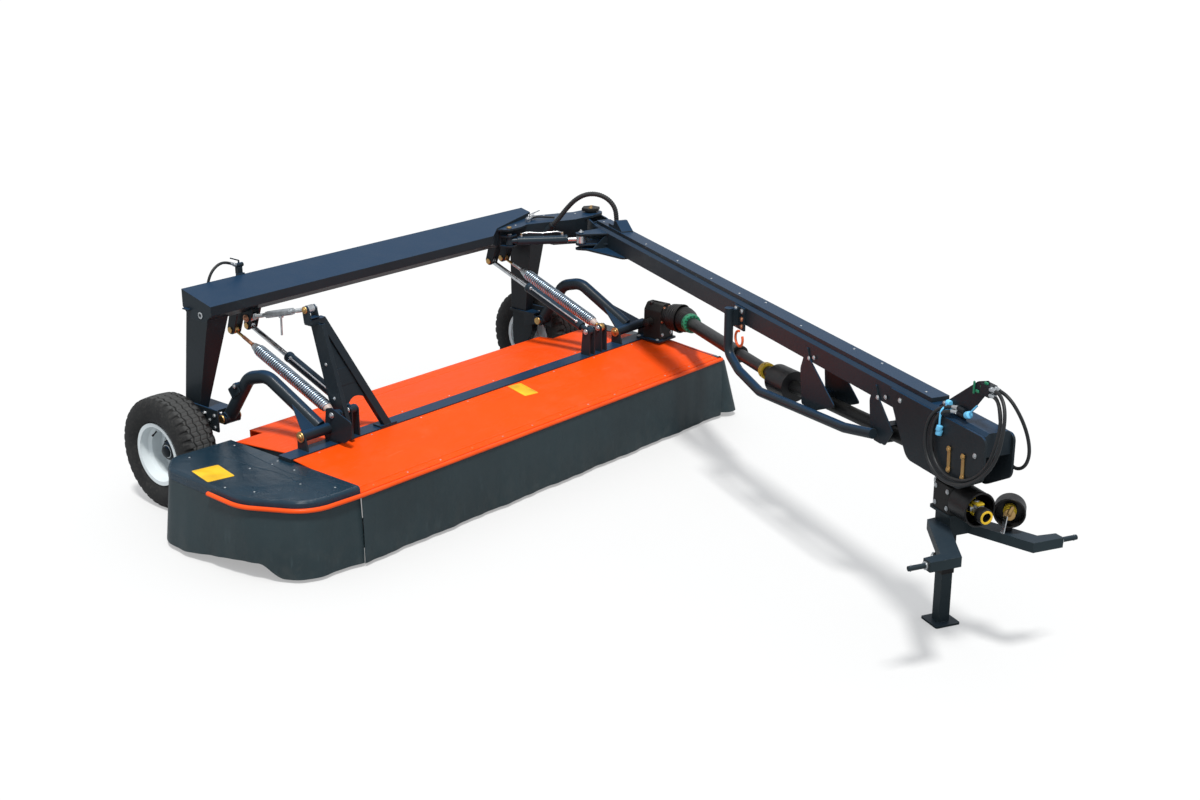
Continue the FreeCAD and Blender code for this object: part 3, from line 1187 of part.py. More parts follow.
def centring(nodes):
    """The move that puts the origin under the middle of the whole machine."""
    whole = FreeCAD.BoundBox()
    for shape in nodes.values():
        whole.add(shape.optimalBoundingBox(False, False))
    return Vector(-whole.Center.x, -whole.Center.y, -whole.ZMin)


def finish():
    nodes = build()
    move = centring(nodes)
    os.makedirs("parts", exist_ok=True)
    for name, shape in nodes.items():
        shape = shape.copy()
        shape.translate(move)
        shape.exportStep("parts/%s.step" % name)


if __name__ == "__main__":
    finish()
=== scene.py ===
"""Trailed disc mower on a pale floor.

It gives the CAD bodies their finishes, and adds tyres, springs, curtains, hoses and trim.
"""
import math

import bmesh
import bpy
import numpy as np
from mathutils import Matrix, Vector


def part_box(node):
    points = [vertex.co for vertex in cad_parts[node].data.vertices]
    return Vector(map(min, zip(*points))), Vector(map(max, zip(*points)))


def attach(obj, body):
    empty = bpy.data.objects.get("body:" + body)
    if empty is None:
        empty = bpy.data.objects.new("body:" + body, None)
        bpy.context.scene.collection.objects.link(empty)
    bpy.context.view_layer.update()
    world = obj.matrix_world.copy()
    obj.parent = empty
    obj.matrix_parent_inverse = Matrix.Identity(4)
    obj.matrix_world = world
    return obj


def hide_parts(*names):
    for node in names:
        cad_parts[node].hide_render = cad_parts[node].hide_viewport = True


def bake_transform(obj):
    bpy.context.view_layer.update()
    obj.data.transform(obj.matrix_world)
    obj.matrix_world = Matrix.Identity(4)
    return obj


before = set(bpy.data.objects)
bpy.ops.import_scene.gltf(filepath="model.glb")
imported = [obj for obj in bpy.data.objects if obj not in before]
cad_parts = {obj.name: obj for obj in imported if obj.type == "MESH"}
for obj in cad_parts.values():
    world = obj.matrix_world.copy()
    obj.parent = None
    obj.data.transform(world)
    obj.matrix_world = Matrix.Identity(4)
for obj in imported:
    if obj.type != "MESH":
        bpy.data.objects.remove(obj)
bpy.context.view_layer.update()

# ---- places ----
WHEEL_X = {-1: -1835.0, 1: 1720.0}                  # middle of each wheel, by side: -1 right, 1 left
WHEEL_R = 380.0
HINGES = ((-1540.0, -1330.0), (1528.0, 1828.0))     # ends of the header's hinge pins, right and left
ARM_X = (-1530.0, 1522.0)                           # lift arms
CYLINDER_X = 1160.0                                 # lift cylinders, on both sides
SPRING_X = 1296.0                                   # float springs, on both sides
LINK_REAR = np.array([-1290.0, -231.0, 1216.5])     # eyes of the top link
LINK_FRONT = np.array([-1290.0, -834.0, 1382.0])
low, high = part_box("tyre_right")
AXLE = np.array([(low.x + high.x) / 2 - WHEEL_X[-1] / 1000, (low.y + high.y) / 2, 0.0])
SWIVEL = np.array([1980.0, -350.0, 0.0])
DRAW = math.radians(-26.5)
ACROSS = np.array([math.cos(DRAW), math.sin(DRAW), 0.0])
AHEAD = np.array([math.sin(DRAW), -math.cos(DRAW), 0.0])
UP = np.array([0.0, 0.0, 1.0])
X = np.array([1.0, 0.0, 0.0])
Y = np.array([0.0, 1.0, 0.0])


def machine(points):
    """Places in mm left of the middle, behind the axle and above the floor, as the scene's metres."""
    return np.asarray(points, float) / 1000 + AXLE


def drawbar(points):
    """Places in mm left of the drawbar's middle, ahead of the swivel and above the floor, in metres."""
    p = np.asarray(points, float)
    return machine(SWIVEL + p[..., :1] * ACROSS + p[..., 1:2] * AHEAD + p[..., 2:] * UP)


def show(thing):
    """Put an object in the scene."""
    bpy.context.scene.collection.objects.link(thing)


def unit(vector):
    """The vector at length 1."""
    return np.asarray(vector, float) / np.linalg.norm(vector)


# ---- camera ----
def camera():
    """Looks down at the machine from ahead of it and to its right."""
    pitch, yaw = math.radians(18.82), math.radians(49.34)
    way = Vector((math.sin(yaw) * math.cos(pitch), math.cos(yaw) * math.cos(pitch), -math.sin(pitch)))
    data = bpy.data.cameras.new("camera")
    data.sensor_width, data.lens, data.clip_end = 36, 50.97, 200
    seen = bpy.data.objects.new("camera", data)
    seen.location = machine([-7949, -8975, 4303])
    seen.rotation_euler = way.to_track_quat("-Z", "Y").to_euler()
    show(seen)
    bpy.context.scene.camera = seen


camera()


# ---- finishes ----
def arithmetic(operation, swapped=False):
    """An operator that adds a Math node, with the other value first if swapped."""
    def act(self, other):
        return self.math(operation, *((other, self) if swapped else (self, other)))
    return act


class Link:
    """A value in a finish's nodes. Arithmetic on it adds Math nodes."""

    __add__, __radd__ = arithmetic("ADD"), arithmetic("ADD", True)
    __sub__, __rsub__ = arithmetic("SUBTRACT"), arithmetic("SUBTRACT", True)
    __mul__, __rmul__ = arithmetic("MULTIPLY"), arithmetic("MULTIPLY", True)
    __pow__ = arithmetic("POWER")

    def __init__(self, finish, socket):
        self.finish, self.socket = finish, socket

    def math(self, operation, a, b=None):
        """A Math node of one value or two."""
        sockets = {0: a} if b is None else {0: a, 1: b}
        return self.finish.node("ShaderNodeMath", {"operation": operation}, sockets)

    def between(self, low, high):
        """0 at low or less, 1 at high or more, and smooth between."""
        return self.finish.node("ShaderNodeMapRange", {"interpolation_type": "SMOOTHSTEP"},
                                {"Value": self, "From Min": low, "From Max": high})

    def wave(self, period):
        """Sine of the value over a period."""
        return self.math("SINE", self * (2 * math.pi / period))

    def part(self, axis):
        """One coordinate of a vector."""
        return self.finish.node("ShaderNodeSeparateXYZ", {}, {0: self}, "XYZ".index(axis))


class Finish:
    """A material. node() adds any node: its type, settings, and the values or links of its sockets."""

    def __init__(self, name, **shader):
        self.material = bpy.data.materials.new(name)
        self.material.use_nodes = True
        self.tree = self.material.node_tree
        self.tree.nodes.clear()
        self.shader = self.tree.nodes.new("ShaderNodeBsdfPrincipled")
        end = self.tree.nodes.new("ShaderNodeOutputMaterial")
        self.tree.links.new(self.shader.outputs[0], end.inputs[0])
        self.place = self.node("ShaderNodeTexCoord", {}, {}, "Object")
        self.set(**shader)

    def node(self, kind, settings, sockets, out=0):
        """Add a node, and give the link at its output."""
        made = self.tree.nodes.new(kind)
        for name, value in settings.items():
            setattr(made, name, value)
        for name, value in sockets.items():
            self.join(value, made.inputs[name])
        return Link(self, made.outputs[out])

    def join(self, value, socket):
        """Give a socket a link or a value."""
        if isinstance(value, Link):
            self.tree.links.new(value.socket, socket)
        elif socket.type == "RGBA" and len(value) == 3:
            socket.default_value = (*value, 1)
        else:
            socket.default_value = value

    def set(self, **shader):
        """Give the shader's sockets links or values; _ in a name stands for a blank."""
        for name, value in shader.items():
            self.join(value, self.shader.inputs[name.replace("_", " ")])

    def grain(self, scale, detail=3.0, stretch=(1, 1, 1), twist=0.0):
        """Noise of so many spots a metre, squeezed along an axis by its number in stretch."""
        where = self.node("ShaderNodeMapping", {}, {"Vector": self.place, "Scale": stretch})
        return self.node("ShaderNodeTexNoise", {}, {"Vector": where, "Scale": scale, "Detail": detail,
                                                    "Distortion": twist})

    def blend(self, share, first, second, kind="MIX"):
        """Second colour over the first, by a share."""
        return self.node("ShaderNodeMix", {"data_type": "RGBA", "blend_type": kind},
                         {0: share, 6: first, 7: second}, 2)

    def mottle(self, share, colour, dark, light=1.0):
        """A colour times dark to the colour times light, by a share."""
        return self.blend(share, [c * dark for c in colour], [c * light for c in colour])

    def edge(self, radius):
        """How far the surface turns within a radius: 1 on a sharp edge."""
        rounded = self.node("ShaderNodeBevel", {"samples": 4}, {"Radius": radius})
        true = self.node("ShaderNodeNewGeometry", {}, {}, "True Normal")
        turn = self.node("ShaderNodeVectorMath", {"operation": "DOT_PRODUCT"}, {0: rounded, 1: true}, "Value")
        return (1 - turn).between(0.02, 0.25), rounded

    def facing(self, axis="Z"):
        """How squarely the surface faces an axis."""
        return self.node("ShaderNodeNewGeometry", {}, {}, "Normal").part(axis)

    def bump(self, height, depth, normal=None):
        """Relief of a depth in metres under the shading."""
        sockets = {"Height": height, "Distance": depth, "Strength": 1.0}
        if normal is not None:
            sockets["Normal"] = normal
        self.set(Normal=self.node("ShaderNodeBump", {}, sockets))


def paint(name, colour, top=None, rough=0.34, chip=(0.13, 0.13, 0.125), dust=0.13, wear=1.0):
    """Sprayed gloss paint: orange peel, a film of dust on level faces, edges rubbed to primer, and a painted
    sky reflection in the top colour on faces turned up.
    """
    f = Finish(name, Coat_Weight=0.03, Coat_Roughness=0.1, Specular_IOR_Level=0.16)
    edge, rounded = f.edge(0.004)
    level = f.facing().between(0.55, 0.95)
    blotch = f.grain(2.3, 4)
    shade = f.mottle(blotch.between(0.25, 0.75), colour, 0.88, 1.12)
    # painted reflection: level faces blend to the top colour, a blue sky reflection painted into the base
    # colour
    if top:
        shade = f.blend(level, shade, top)
    speck = f.grain(170, 2).between(0.55, 0.75) * f.grain(5, 3).between(0.45, 0.7)
    dusty = (level * 0.35 + 0.15) * (0.35 + 0.65 * f.grain(9, 5).between(0.35, 0.75)) * dust
    shade = f.blend(dusty * 0.35, shade, (0.30, 0.27, 0.22))
    shade = f.blend(speck * 0.10 * dust, shade, (0.35, 0.32, 0.27))
    chipped = edge * f.grain(60, 4).between(0.50, 0.68) * wear
    shade = f.blend(chipped * 0.8, shade, chip)
    f.set(Base_Color=shade, Roughness=rough + 0.22 * dusty + 0.15 * chipped + 0.08 * blotch)
    f.bump(f.grain(320, 2) * 0.5 + f.grain(45, 3), 0.0006, rounded)
    return f


def bare(name, colour, rough=0.3, metallic=1.0, scratch=(1, 1, 1), rust=0.0, spot=(0.10, 0.045, 0.02)):
    """Bare or plated metal: brushed along stretch, dulled in patches, a little rust or oil in spots."""
    f = Finish(name, Metallic=metallic)
    edge, rounded = f.edge(0.002)
    cloud = f.grain(22, 4)
    fine = f.grain(260, 2, scratch)
    shade = f.mottle(cloud.between(0.3, 0.7), colour, 0.78)
    shade = f.blend(edge * 0.4, shade, [min(c * 1.25, 1) for c in colour])
    stain = f.grain(37, 5).between(0.56, 0.72) * rust
    f.set(Base_Color=f.blend(stain, shade, spot), Roughness=rough + 0.16 * cloud + 0.12 * fine + 0.35 * stain,
          Metallic=metallic - metallic * 0.8 * stain)
    f.bump(fine + cloud * 0.6, 0.0004, rounded)
    return f


def moulded(name, colour, rough=0.5, dust=0.4):
    """Moulded plastic or rubber: fine pitted skin, scuffed edges, dust lying in patches."""
    f = Finish(name, Specular_IOR_Level=0.35)
    edge, rounded = f.edge(0.003)
    cloud = f.grain(6, 4)
    shade = f.mottle(cloud.between(0.3, 0.7), colour, 0.8, 1.2)
    dusty = f.facing().between(0.2, 0.9) * f.grain(14, 4).between(0.35, 0.7) * dust
    shade = f.blend(dusty * 0.3, shade, (0.25, 0.23, 0.20))
    shade = f.blend(edge * f.grain(90, 3).between(0.4, 0.65) * 0.5, shade, [c * 1.9 + 0.03 for c in colour])
    f.set(Base_Color=shade, Roughness=rough + 0.2 * dusty + 0.08 * cloud)
    f.bump(f.grain(600, 2) + 0.6 * f.grain(80, 3), 0.0005, rounded)
    return f


def coated(name, colour, rough=0.42):
    """Coated curtain cloth: a fine weave under the skin, soft creases, pale scuffs, splashes low down."""
    f = Finish(name, Coat_Weight=0.08, Coat_Roughness=0.22, Specular_IOR_Level=0.32)
    x, y, z = (f.place.part(a) for a in "XYZ")
    along = x + y
    weave = along.wave(0.0024) * z.wave(0.0024)
    crease = f.grain(3.2, 4, (1, 1, 0.35), 0.6)
    cloud = f.grain(1.7, 4)
    shade = f.mottle(cloud.between(0.3, 0.7), colour, 0.86, 1.14)
    lowdown = 1 - z.between(0.03, 0.30)
    dusty = (0.25 + 0.75 * lowdown) * f.grain(12, 5).between(0.42, 0.75)
    shade = f.blend(dusty * 0.10, shade, (0.16, 0.155, 0.14))
    rub = f.grain(30, 4, (1, 1, 0.2)).between(0.62, 0.76)
    shade = f.blend(rub * 0.25, shade, [c * 2.4 + 0.02 for c in colour])
    f.set(Base_Color=shade, Roughness=rough + 0.2 * dusty + 0.1 * cloud)
    f.bump(crease * 12 + weave * 0.22 + f.grain(420, 2) * 0.4, 0.0012)
    return f


def cover_cloth(name, colour):
    """Orange coated cover sheet: shallow puckers, faint crease lines, dust and small scuffs."""
    f = Finish(name, Coat_Weight=0.02, Coat_Roughness=0.25, Specular_IOR_Level=0.12)
    edge, rounded = f.edge(0.004)
    pucker = f.grain(2.4, 3, (0.55, 1.6, 1), 0.8)
    cloud = f.grain(1.3, 4)
    shade = f.mottle(cloud.between(0.3, 0.7), colour, 0.93)
    dusty = f.grain(7, 5).between(0.45, 0.8)
    shade = f.blend(dusty * 0.05, shade, (0.55, 0.40, 0.28))
    scuff = f.grain(34, 4, (0.15, 1, 1)).between(0.66, 0.78)
    shade = f.blend(scuff * 0.3, shade, (0.62, 0.30, 0.16))
    shade = f.blend(edge * f.grain(50, 3).between(0.45, 0.65) * 0.5, shade, (0.45, 0.12, 0.04))
    f.set(Base_Color=shade, Roughness=0.46 + 0.15 * dusty + 0.1 * cloud)
    f.bump(pucker * 10 + f.grain(380, 2) * 0.5, 0.0013, rounded)
    return f


def tyre_rubber():
    """Tyre rubber: paler where the tread is worn, dust in patches."""
    f = Finish("tyre_rubber", Specular_IOR_Level=0.3)
    cloud = f.grain(5, 5)
    y, z = f.place.part("Y") - float(AXLE[1]), f.place.part("Z") - WHEEL_R / 1000
    worn = ((y * y + z * z) ** 0.5).between(0.3725, 0.3765)
    dusty = f.grain(60, 4).between(0.45, 0.8)
    shade = f.blend(cloud.between(0.3, 0.7), (0.010, 0.010, 0.011), (0.017, 0.018, 0.018))
    shade = f.blend(worn * 0.75, shade, (0.066, 0.068, 0.068))
    shade = f.blend(dusty * 0.16, shade, (0.16, 0.15, 0.135))
    f.set(Base_Color=shade, Roughness=0.68 + 0.15 * dusty)
    f.bump(f.grain(330, 3) + cloud, 0.0008)
    return f


# bluish colour for upward faces: a painted reflection of a blue sky, not a second paint
PAINTED_SKY_REFLECTION = (0.006, 0.032, 0.076)
FRAME = paint("frame_paint", (0.014, 0.022, 0.029), PAINTED_SKY_REFLECTION)
PLATE = paint("side_plate_paint", (0.014, 0.020, 0.025), PAINTED_SKY_REFLECTION)
ORANGE = cover_cloth("orange_cover_sheet", (0.96, 0.080, 0.002))
ORANGE_PAINT = paint("orange_paint", (0.93, 0.085, 0.006), rough=0.30, chip=(0.30, 0.12, 0.06), dust=0.4)
CURTAIN = coated("curtain_cloth", (0.019, 0.035, 0.041), 0.36)
END_COVER = coated("end_cover_cloth", (0.008, 0.028, 0.048), 0.18)
TYRE = tyre_rubber()
RIM = paint("rim_paint", (0.70, 0.76, 0.78), rough=0.28, chip=(0.25, 0.23, 0.2), dust=0.3, wear=0.5)
ZINC = bare("zinc_steel", (0.62, 0.65, 0.67), 0.30, rust=0.25)
GOLD = bare("yellow_zinc", (0.62, 0.40, 0.16), 0.28, rust=0.15)
COPPER = bare("copper_washer", (0.66, 0.33, 0.20), 0.30, rust=0.2)
# second colour: painted sky reflection on upward faces
CYLINDER = paint("cylinder_paint", (0.016, 0.030, 0.042), (0.016, 0.036, 0.062), rough=0.24)
CHROME = bare("chrome_rod", (0.72, 0.74, 0.76), 0.10, rust=0.04)
SPRING = bare("spring_steel", (0.50, 0.60, 0.70), 0.16, rust=0.02)
BAR = paint("bar_paint", (0.016, 0.018, 0.020), rough=0.5, dust=0.9)
DISC = bare("disc_steel", (0.20, 0.20, 0.205), 0.42, 0.8, rust=0.9)
GEAR = paint("gear_paint", (0.010, 0.011, 0.012), rough=0.42, dust=0.5)
BLACK = moulded("black_plastic", (0.006, 0.006, 0.007), 0.34, 0.2)
HOSE = moulded("hose_rubber", (0.016, 0.018, 0.020), 0.42, 0.2)
JACK = paint("jack_paint", (0.007, 0.007, 0.008), rough=0.38)
# second colour: painted sky reflection on upward faces
JACK_GREY = paint("jack_grey", (0.015, 0.026, 0.032), (0.018, 0.032, 0.046), rough=0.42)
RACK = paint("rack_paint", (0.010, 0.014, 0.019), (0.010, 0.014, 0.019))
YELLOW = moulded("yellow_plastic", (0.78, 0.50, 0.025), 0.38, 0.2)
YELLOW_STEEL = paint("yellow_joint_paint", (0.74, 0.52, 0.03), rough=0.34, chip=(0.2, 0.15, 0.08), dust=0.5)
GREEN = moulded("green_plastic", (0.020, 0.22, 0.11), 0.40, 0.2)
PALE_BLUE = moulded("pale_blue_plastic", (0.16, 0.56, 0.88), 0.36, 0.05)
CLEAR = moulded("pale_plastic", (0.52, 0.42, 0.38), 0.28, 0.2)
ORANGE_RUBBER = moulded("orange_rubber", (0.80, 0.12, 0.03), 0.45, 0.2)
PLATE_YELLOW = moulded("blank_plate", (0.86, 0.50, 0.015), 0.34, 0.15)


def dress(finish, *names):
    """Give CAD pieces a finish, in all their slots."""
    for name in names:
        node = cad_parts[name]
        if not node.material_slots:
            node.data.materials.append(None)
        for slot in node.material_slots:
            slot.material = finish.material


dress(FRAME, "main_beam", "swivel_arm", "lift_arms", "header_frame", "a_bracket", "drawbar_beam",
      "drawbar_cap", "guard_tube", "driveline_hangers")
dress(PLATE, "portal_legs", "wheel_axles", "hitch_plates")
dress(ORANGE, "front_cover", "rear_cover")
dress(ORANGE_PAINT, "bumper_tube")
dress(END_COVER, "end_covers")
dress(CURTAIN, "end_skirts", "front_skirt")
dress(TYRE, "tyre_right", "tyre_left")
dress(RIM, "rim_right", "rim_left")
dress(ZINC, "top_link", "pto_yoke")
dress(GOLD, "spring_adjusters")
dress(CYLINDER, "lift_cylinder_barrels", "swing_cylinder_barrel")
dress(CHROME, "lift_cylinder_rods", "swing_cylinder_rod")
dress(SPRING, "float_springs")
dress(BAR, "cutterbar")
dress(DISC, "skids", *[f"disc_{n:02d}" for n in range(1, 11)])
dress(GEAR, "side_gearbox", "upper_gear_head", "hitch_gearbox", "driveline_tube")
dress(BLACK, "joint_guard", "pto_shaft_rear", "pto_shaft_front", "driveline_bell", "hitch_bells")
dress(JACK, "jack_tube")
dress(JACK_GREY, "jack_leg", "hitch_crossbar")
dress(RACK, "hose_rack")
dress(HOSE, "hitch_hose_near", "hitch_hose_inner", "hitch_hose_far", "swivel_hose", "valve_hose")


# ---- hoses ----
def distances(line):
    """How far along a line each of its points is."""
    return np.r_[0, np.cumsum(np.linalg.norm(np.diff(line, axis=0), axis=1))]


def spline(name, points, radius):
    """A smooth open line with points as its control points, as a round tube of that radius."""
    line = bpy.data.curves.new(name, "CURVE")
    line.dimensions = "3D"
    run = line.splines.new("NURBS")
    run.points.add(len(points) - 1)
    run.points.foreach_set("co", np.c_[points, np.ones(len(points))].ravel())
    run.order_u, run.use_endpoint_u, run.resolution_u = 3, True, 8
    line.bevel_depth, line.bevel_resolution, line.use_fill_caps = radius, 4, True
    made = bpy.data.objects.new(name, line)
    show(made)
    return made


def along(route, n=None):
    """Points on a route's own line, as Blender works them out."""
    thin = spline("line", route, 0)
    mesh = bpy.data.meshes.new_from_object(thin)
    line = np.zeros(len(mesh.vertices) * 3)
    mesh.vertices.foreach_get("co", line)
    bpy.data.meshes.remove(mesh)
    bpy.data.objects.remove(thin)
    line = line.reshape(-1, 3)
    if n is None:
        return line
    far = distances(line)
    step = np.linspace(0, far[-1], n)
    return np.stack([np.interp(step, far, line[:, i]) for i in range(3)], 1)


HOSE_R = 0.0095
BUNDLE_R = 0.019
NEAR_LOOP = drawbar([(-62.3, 5150, 1404), (-82, 5066, 1392), (-112, 4994, 1334), (-126, 4962, 1240),
                     (-130, 4968, 1142), (-130, 5022, 1058), (-130, 5116, 1012), (-130, 5226, 1012),
                     (-130, 5338, 1046), (-128, 5440, 1104), (-123, 5528, 1182), (-113, 5584, 1284),
                     (-100, 5594, 1388), (-86, 5586, 1470), (-68, 5550, 1538), (-56, 5494, 1577),
                     (-54, 5452, 1584), (-54, 5410.3, 1584)])
INNER_LOOP = drawbar([(-62.3, 5150, 1380), (-94, 5090, 1376), (-113, 5032, 1322), (-114, 5000, 1226),
                      (-112, 5012, 1120), (-112, 5072, 1056), (-112, 5160, 1030), (-112, 5264, 1042),
                      (-112, 5366, 1082), (-112, 5454, 1146), (-108, 5516, 1230), (-102, 5546, 1320),
                      (-90, 5554, 1402), (-74, 5536, 1474), (-60, 5492, 1531), (-54, 5450, 1552),
                      (-54, 5410.3, 1552)])
FAR_LOOP = drawbar([(-28, 5410.3, 1584), (-28, 5470, 1584), (-16, 5522, 1560), (8, 5554, 1510),
                    (46, 5572, 1430), (84, 5570, 1336), (112, 5548, 1244), (124, 5500, 1166),
                    (126, 5424, 1128), (126, 5348, 1154), (124, 5304, 1220), (118, 5288, 1296),
                    (110, 5284, 1368), (92, 5290, 1440), (58, 5300, 1498), (10, 5300, 1520),
                    (-41.7, 5300, 1520)])
VALVE_HOSE = machine([(-1440, 14, 1330.3), (-1440, 14, 1396), (-1424, 14, 1460), (-1386, 14, 1514),
                      (-1326, 14, 1546), (-1262, 14, 1540), (-1206.3, 14, 1512)])
BUNDLE_WAY = np.array([math.cos(math.radians(-61.45)), math.sin(math.radians(-61.45)), 0.0])
BUNDLE = machine([np.array([1490.0, -341.0, z]) + d * BUNDLE_WAY for d, z in (
    (38.3, 1369.3), (80.0, 1411.0), (138.0, 1490.0), (212.0, 1571.0), (292.0, 1617.0), (378.0, 1626.0),
    (456.0, 1600.0), (510.0, 1550.0), (537.0, 1484.0), (537.0, 1400.3))])

for name, route, body, length in (("hitch_hose_near", NEAR_LOOP, "drawbar", 1.570),
                                  ("hitch_hose_inner", INNER_LOOP, "drawbar", 1.362),
                                  ("hitch_hose_far", FAR_LOOP, "drawbar", 1.190),
                                  ("valve_hose", VALVE_HOSE, "frame", 0.388)):
    hose = spline(name + "_piece", route, HOSE_R)
    hose.data.materials.append(HOSE.material)
    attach(hose, body)
    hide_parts(name)


# ---- shapes ----
def ring(radius, sides):
    """A circle in its own plane, as (across, up) pairs."""
    turn = np.linspace(0, 2 * math.pi, sides, endpoint=False)
    return np.c_[radius * np.cos(turn), radius * np.sin(turn)]


def bend(points, n):
    """A Catmull-Rom line through points, with n steps between each two."""
    p = np.asarray(points, float)
    p = np.vstack([2 * p[0] - p[1], p, 2 * p[-1] - p[-2]])
    a, b, c, d = (p[i:len(p) - 3 + i, None] for i in range(4))
    t = np.linspace(0, 1, n, endpoint=False)[None, :, None]
    line = 0.5 * (2 * b + (c - a) * t + (2 * a - 5 * b + 4 * c - d) * t ** 2
                  + (3 * b - a - 3 * c + d) * t ** 3)
    return np.vstack([line.reshape(-1, p.shape[1]), p[-2]])


def frames(path, up):
    """Unit vectors along, across and up at each point of a path, across being square to a steady up."""
    way = np.gradient(path, axis=0)
    way /= np.linalg.norm(way, axis=1, keepdims=True)
    side = np.cross(way, up)
    side /= np.linalg.norm(side, axis=1, keepdims=True)
    return way, side, np.cross(side, way)


class Shape:
    """Surfaces gathered into one mesh, each with a finish."""

    def __init__(self):
        self.points, self.faces, self.marks, self.finishes, self.count = [], [], [], [], 0

    def grid(self, grid, finish, loop=True):
        """A grid of points, i along and j around; loop joins its last column to the first."""
        if finish not in self.finishes:
            self.finishes.append(finish)
        rows, cols = grid.shape[:2]
        index = np.arange(rows * cols).reshape(rows, cols) + self.count
        if loop:
            index = np.c_[index, index[:, :1]]
        quads = np.stack([index[:-1, :-1], index[1:, :-1], index[1:, 1:], index[:-1, 1:]], -1).reshape(-1, 4)
        self.points.append(grid.reshape(-1, 3))
        self.faces.append(quads)
        self.marks.append(np.full(len(quads), self.finishes.index(finish)))
        self.count += rows * cols

    def turned(self, outline, centre, axis, finish, sides=24, start=None):
        """An outline of (distance along the axis, radius) in millimetres, turned round the axis."""
        along_axis = unit(axis)
        first = unit(np.cross(along_axis, UP if abs(along_axis[2]) < 0.9 else X) if start is None else start)
        second = np.cross(along_axis, first)
        o = np.asarray(outline, float) / 1000
        c = ring(1, sides)
        self.grid(np.asarray(centre) + o[:, None, :1] * along_axis
                  + o[:, None, 1:] * (c[:, :1] * first + c[:, 1:] * second), finish)

    def solid(self, outline, *rest, **more):
        """turned(), with both ends of the outline closed to the axis."""
        self.turned([(outline[0][0], 0), *outline, (outline[-1][0], 0)], *rest, **more)

    def tube(self, path, radius, finish, sides=12, up=UP):
        """A round tube along a path, its ends closed to a point; radius in metres, one or one a point."""
        _, side, top = frames(path, up)
        r = np.broadcast_to(np.asarray(radius, float).reshape(-1, 1, 1), (len(path), 1, 1))
        c = ring(1, sides)
        body = path[:, None] + r * (c[None, :, :1] * side[:, None] + c[None, :, 1:] * top[:, None])
        ends = [np.broadcast_to(path[i], (1, sides, 3)) for i in (0, -1)]
        self.grid(np.concatenate([ends[0], body, ends[1]]), finish)

    def bar(self, start, end, outline, finish, up=UP, soft=2.0):
        """A closed outline of (across, up) in millimetres from start to end, its ends eased by soft."""
        start, end = np.asarray(start, float), np.asarray(end, float)
        way = unit(end - start)
        side = unit(np.cross(way, up))
        top = np.cross(side, way)
        o = np.asarray(outline, float) / 1000
        middle = o.mean(0)
        size = np.abs(o - middle).max()
        ease = 1 - soft / 1000 / size
        s = soft / 1000
        span = np.linalg.norm(end - start)
        rows = [(0, 0), (0, ease), (s, 1), (span - s, 1), (span, ease), (span, 0)]
        self.grid(np.stack([start + d * way + (middle + (o - middle) * k) @ np.stack([side, top])
                            for d, k in rows]), finish)

    def box(self, centre, size, finish, axes=(X, Y, UP), soft=2.0):
        """A block with eased ends; size is in millimetres along three axes."""
        a, c = np.asarray(axes[0], float), np.asarray(axes[2], float)
        w, h = size[1] / 2, size[2] / 2
        e = min(soft, w * 0.6, h * 0.6)
        outline = [(-w, -h + e), (-w + e, -h), (w - e, -h), (w, -h + e),
                   (w, h - e), (w - e, h), (-w + e, h), (-w, h - e)]
        half = a * size[0] / 2000
        centre = np.asarray(centre)
        self.bar(centre - half, centre + half, outline, finish, c, min(soft, size[0] * 0.3))

    def bolt(self, centre, way, finish, size=12.0, washer=None):
        """Hexagon head on a washer, its seat at centre; size is the thread in millimetres."""
        w, h = size * 0.86, size * 0.65
        if washer is not False:
            self.turned([(0, 0), (0, size * 1.15), (size * 0.2, size * 1.15), (size * 0.2, 0)], centre, way,
                        washer or finish, 14)
        head = [(0.1, 0), (0.1, w), (h * 0.8 + 0.1, w), (h + 0.1, w * 0.84), (h + 0.1, 0)]
        self.turned(head, centre, way, finish, 6)

    def rivet(self, centre, way, finish, radius=8.0):
        """Low domed head."""
        self.turned([(0, 0), (0, radius), (radius * 0.25, radius * 0.92), (radius * 0.42, radius * 0.6),
                     (radius * 0.5, 0)], centre, way, finish, 12)

    def make(self, name, body, replaces=(), angle=35.0):
        """One object of all the surfaces, on a body, in place of the CAD nodes it replaces."""
        points, faces = np.concatenate(self.points), np.concatenate(self.faces)
        mesh = bpy.data.meshes.new(name)
        mesh.from_pydata(points, [], faces)
        mesh.polygons.foreach_set("material_index", np.concatenate(self.marks))
        for finish in self.finishes:
            mesh.materials.append(finish.material)
        b = bmesh.new()
        b.from_mesh(mesh)
        bmesh.ops.remove_doubles(b, verts=b.verts, dist=2e-6)
        bmesh.ops.dissolve_degenerate(b, edges=b.edges, dist=2e-6)
        bmesh.ops.recalc_face_normals(b, faces=b.faces)
        b.to_mesh(mesh)
        b.free()
        mesh.shade_smooth()
        mesh.set_sharp_from_angle(angle=math.radians(angle))
        made = bpy.data.objects.new(name, mesh)
        show(made)
        if body:
            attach(made, body)
        if replaces:
            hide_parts(*replaces)
        return made


# ---- wrapped hoses over the swivel ----
def ring_torus(s, centre, axis, radius, thick, finish, sides=36, start=None, sweep=2 * math.pi):
    """Circle of a radius carried round an axis, or part of the way round."""
    axis = unit(axis)
    first = unit(np.cross(axis, UP if abs(axis[2]) < 0.9 else X)) if start is None else unit(start)
    second = np.cross(axis, first)
    t = np.linspace(0, sweep, sides + 1)[:, None]
    path = np.asarray(centre) + radius / 1000 * (np.cos(t) * first + np.sin(t) * second)
    if sweep == 2 * math.pi:
        c = ring(thick / 1000, 10)
        out = np.cos(t) * first + np.sin(t) * second
        s.grid((path[:, None] + c[None, :, :1] * out[:, None] + c[None, :, 1:] * axis), finish)
    else:
        s.tube(path, thick / 1000, finish, 10, axis)


WRAP_DEPTH, WRAP_PITCH = 0.0010, 0.016


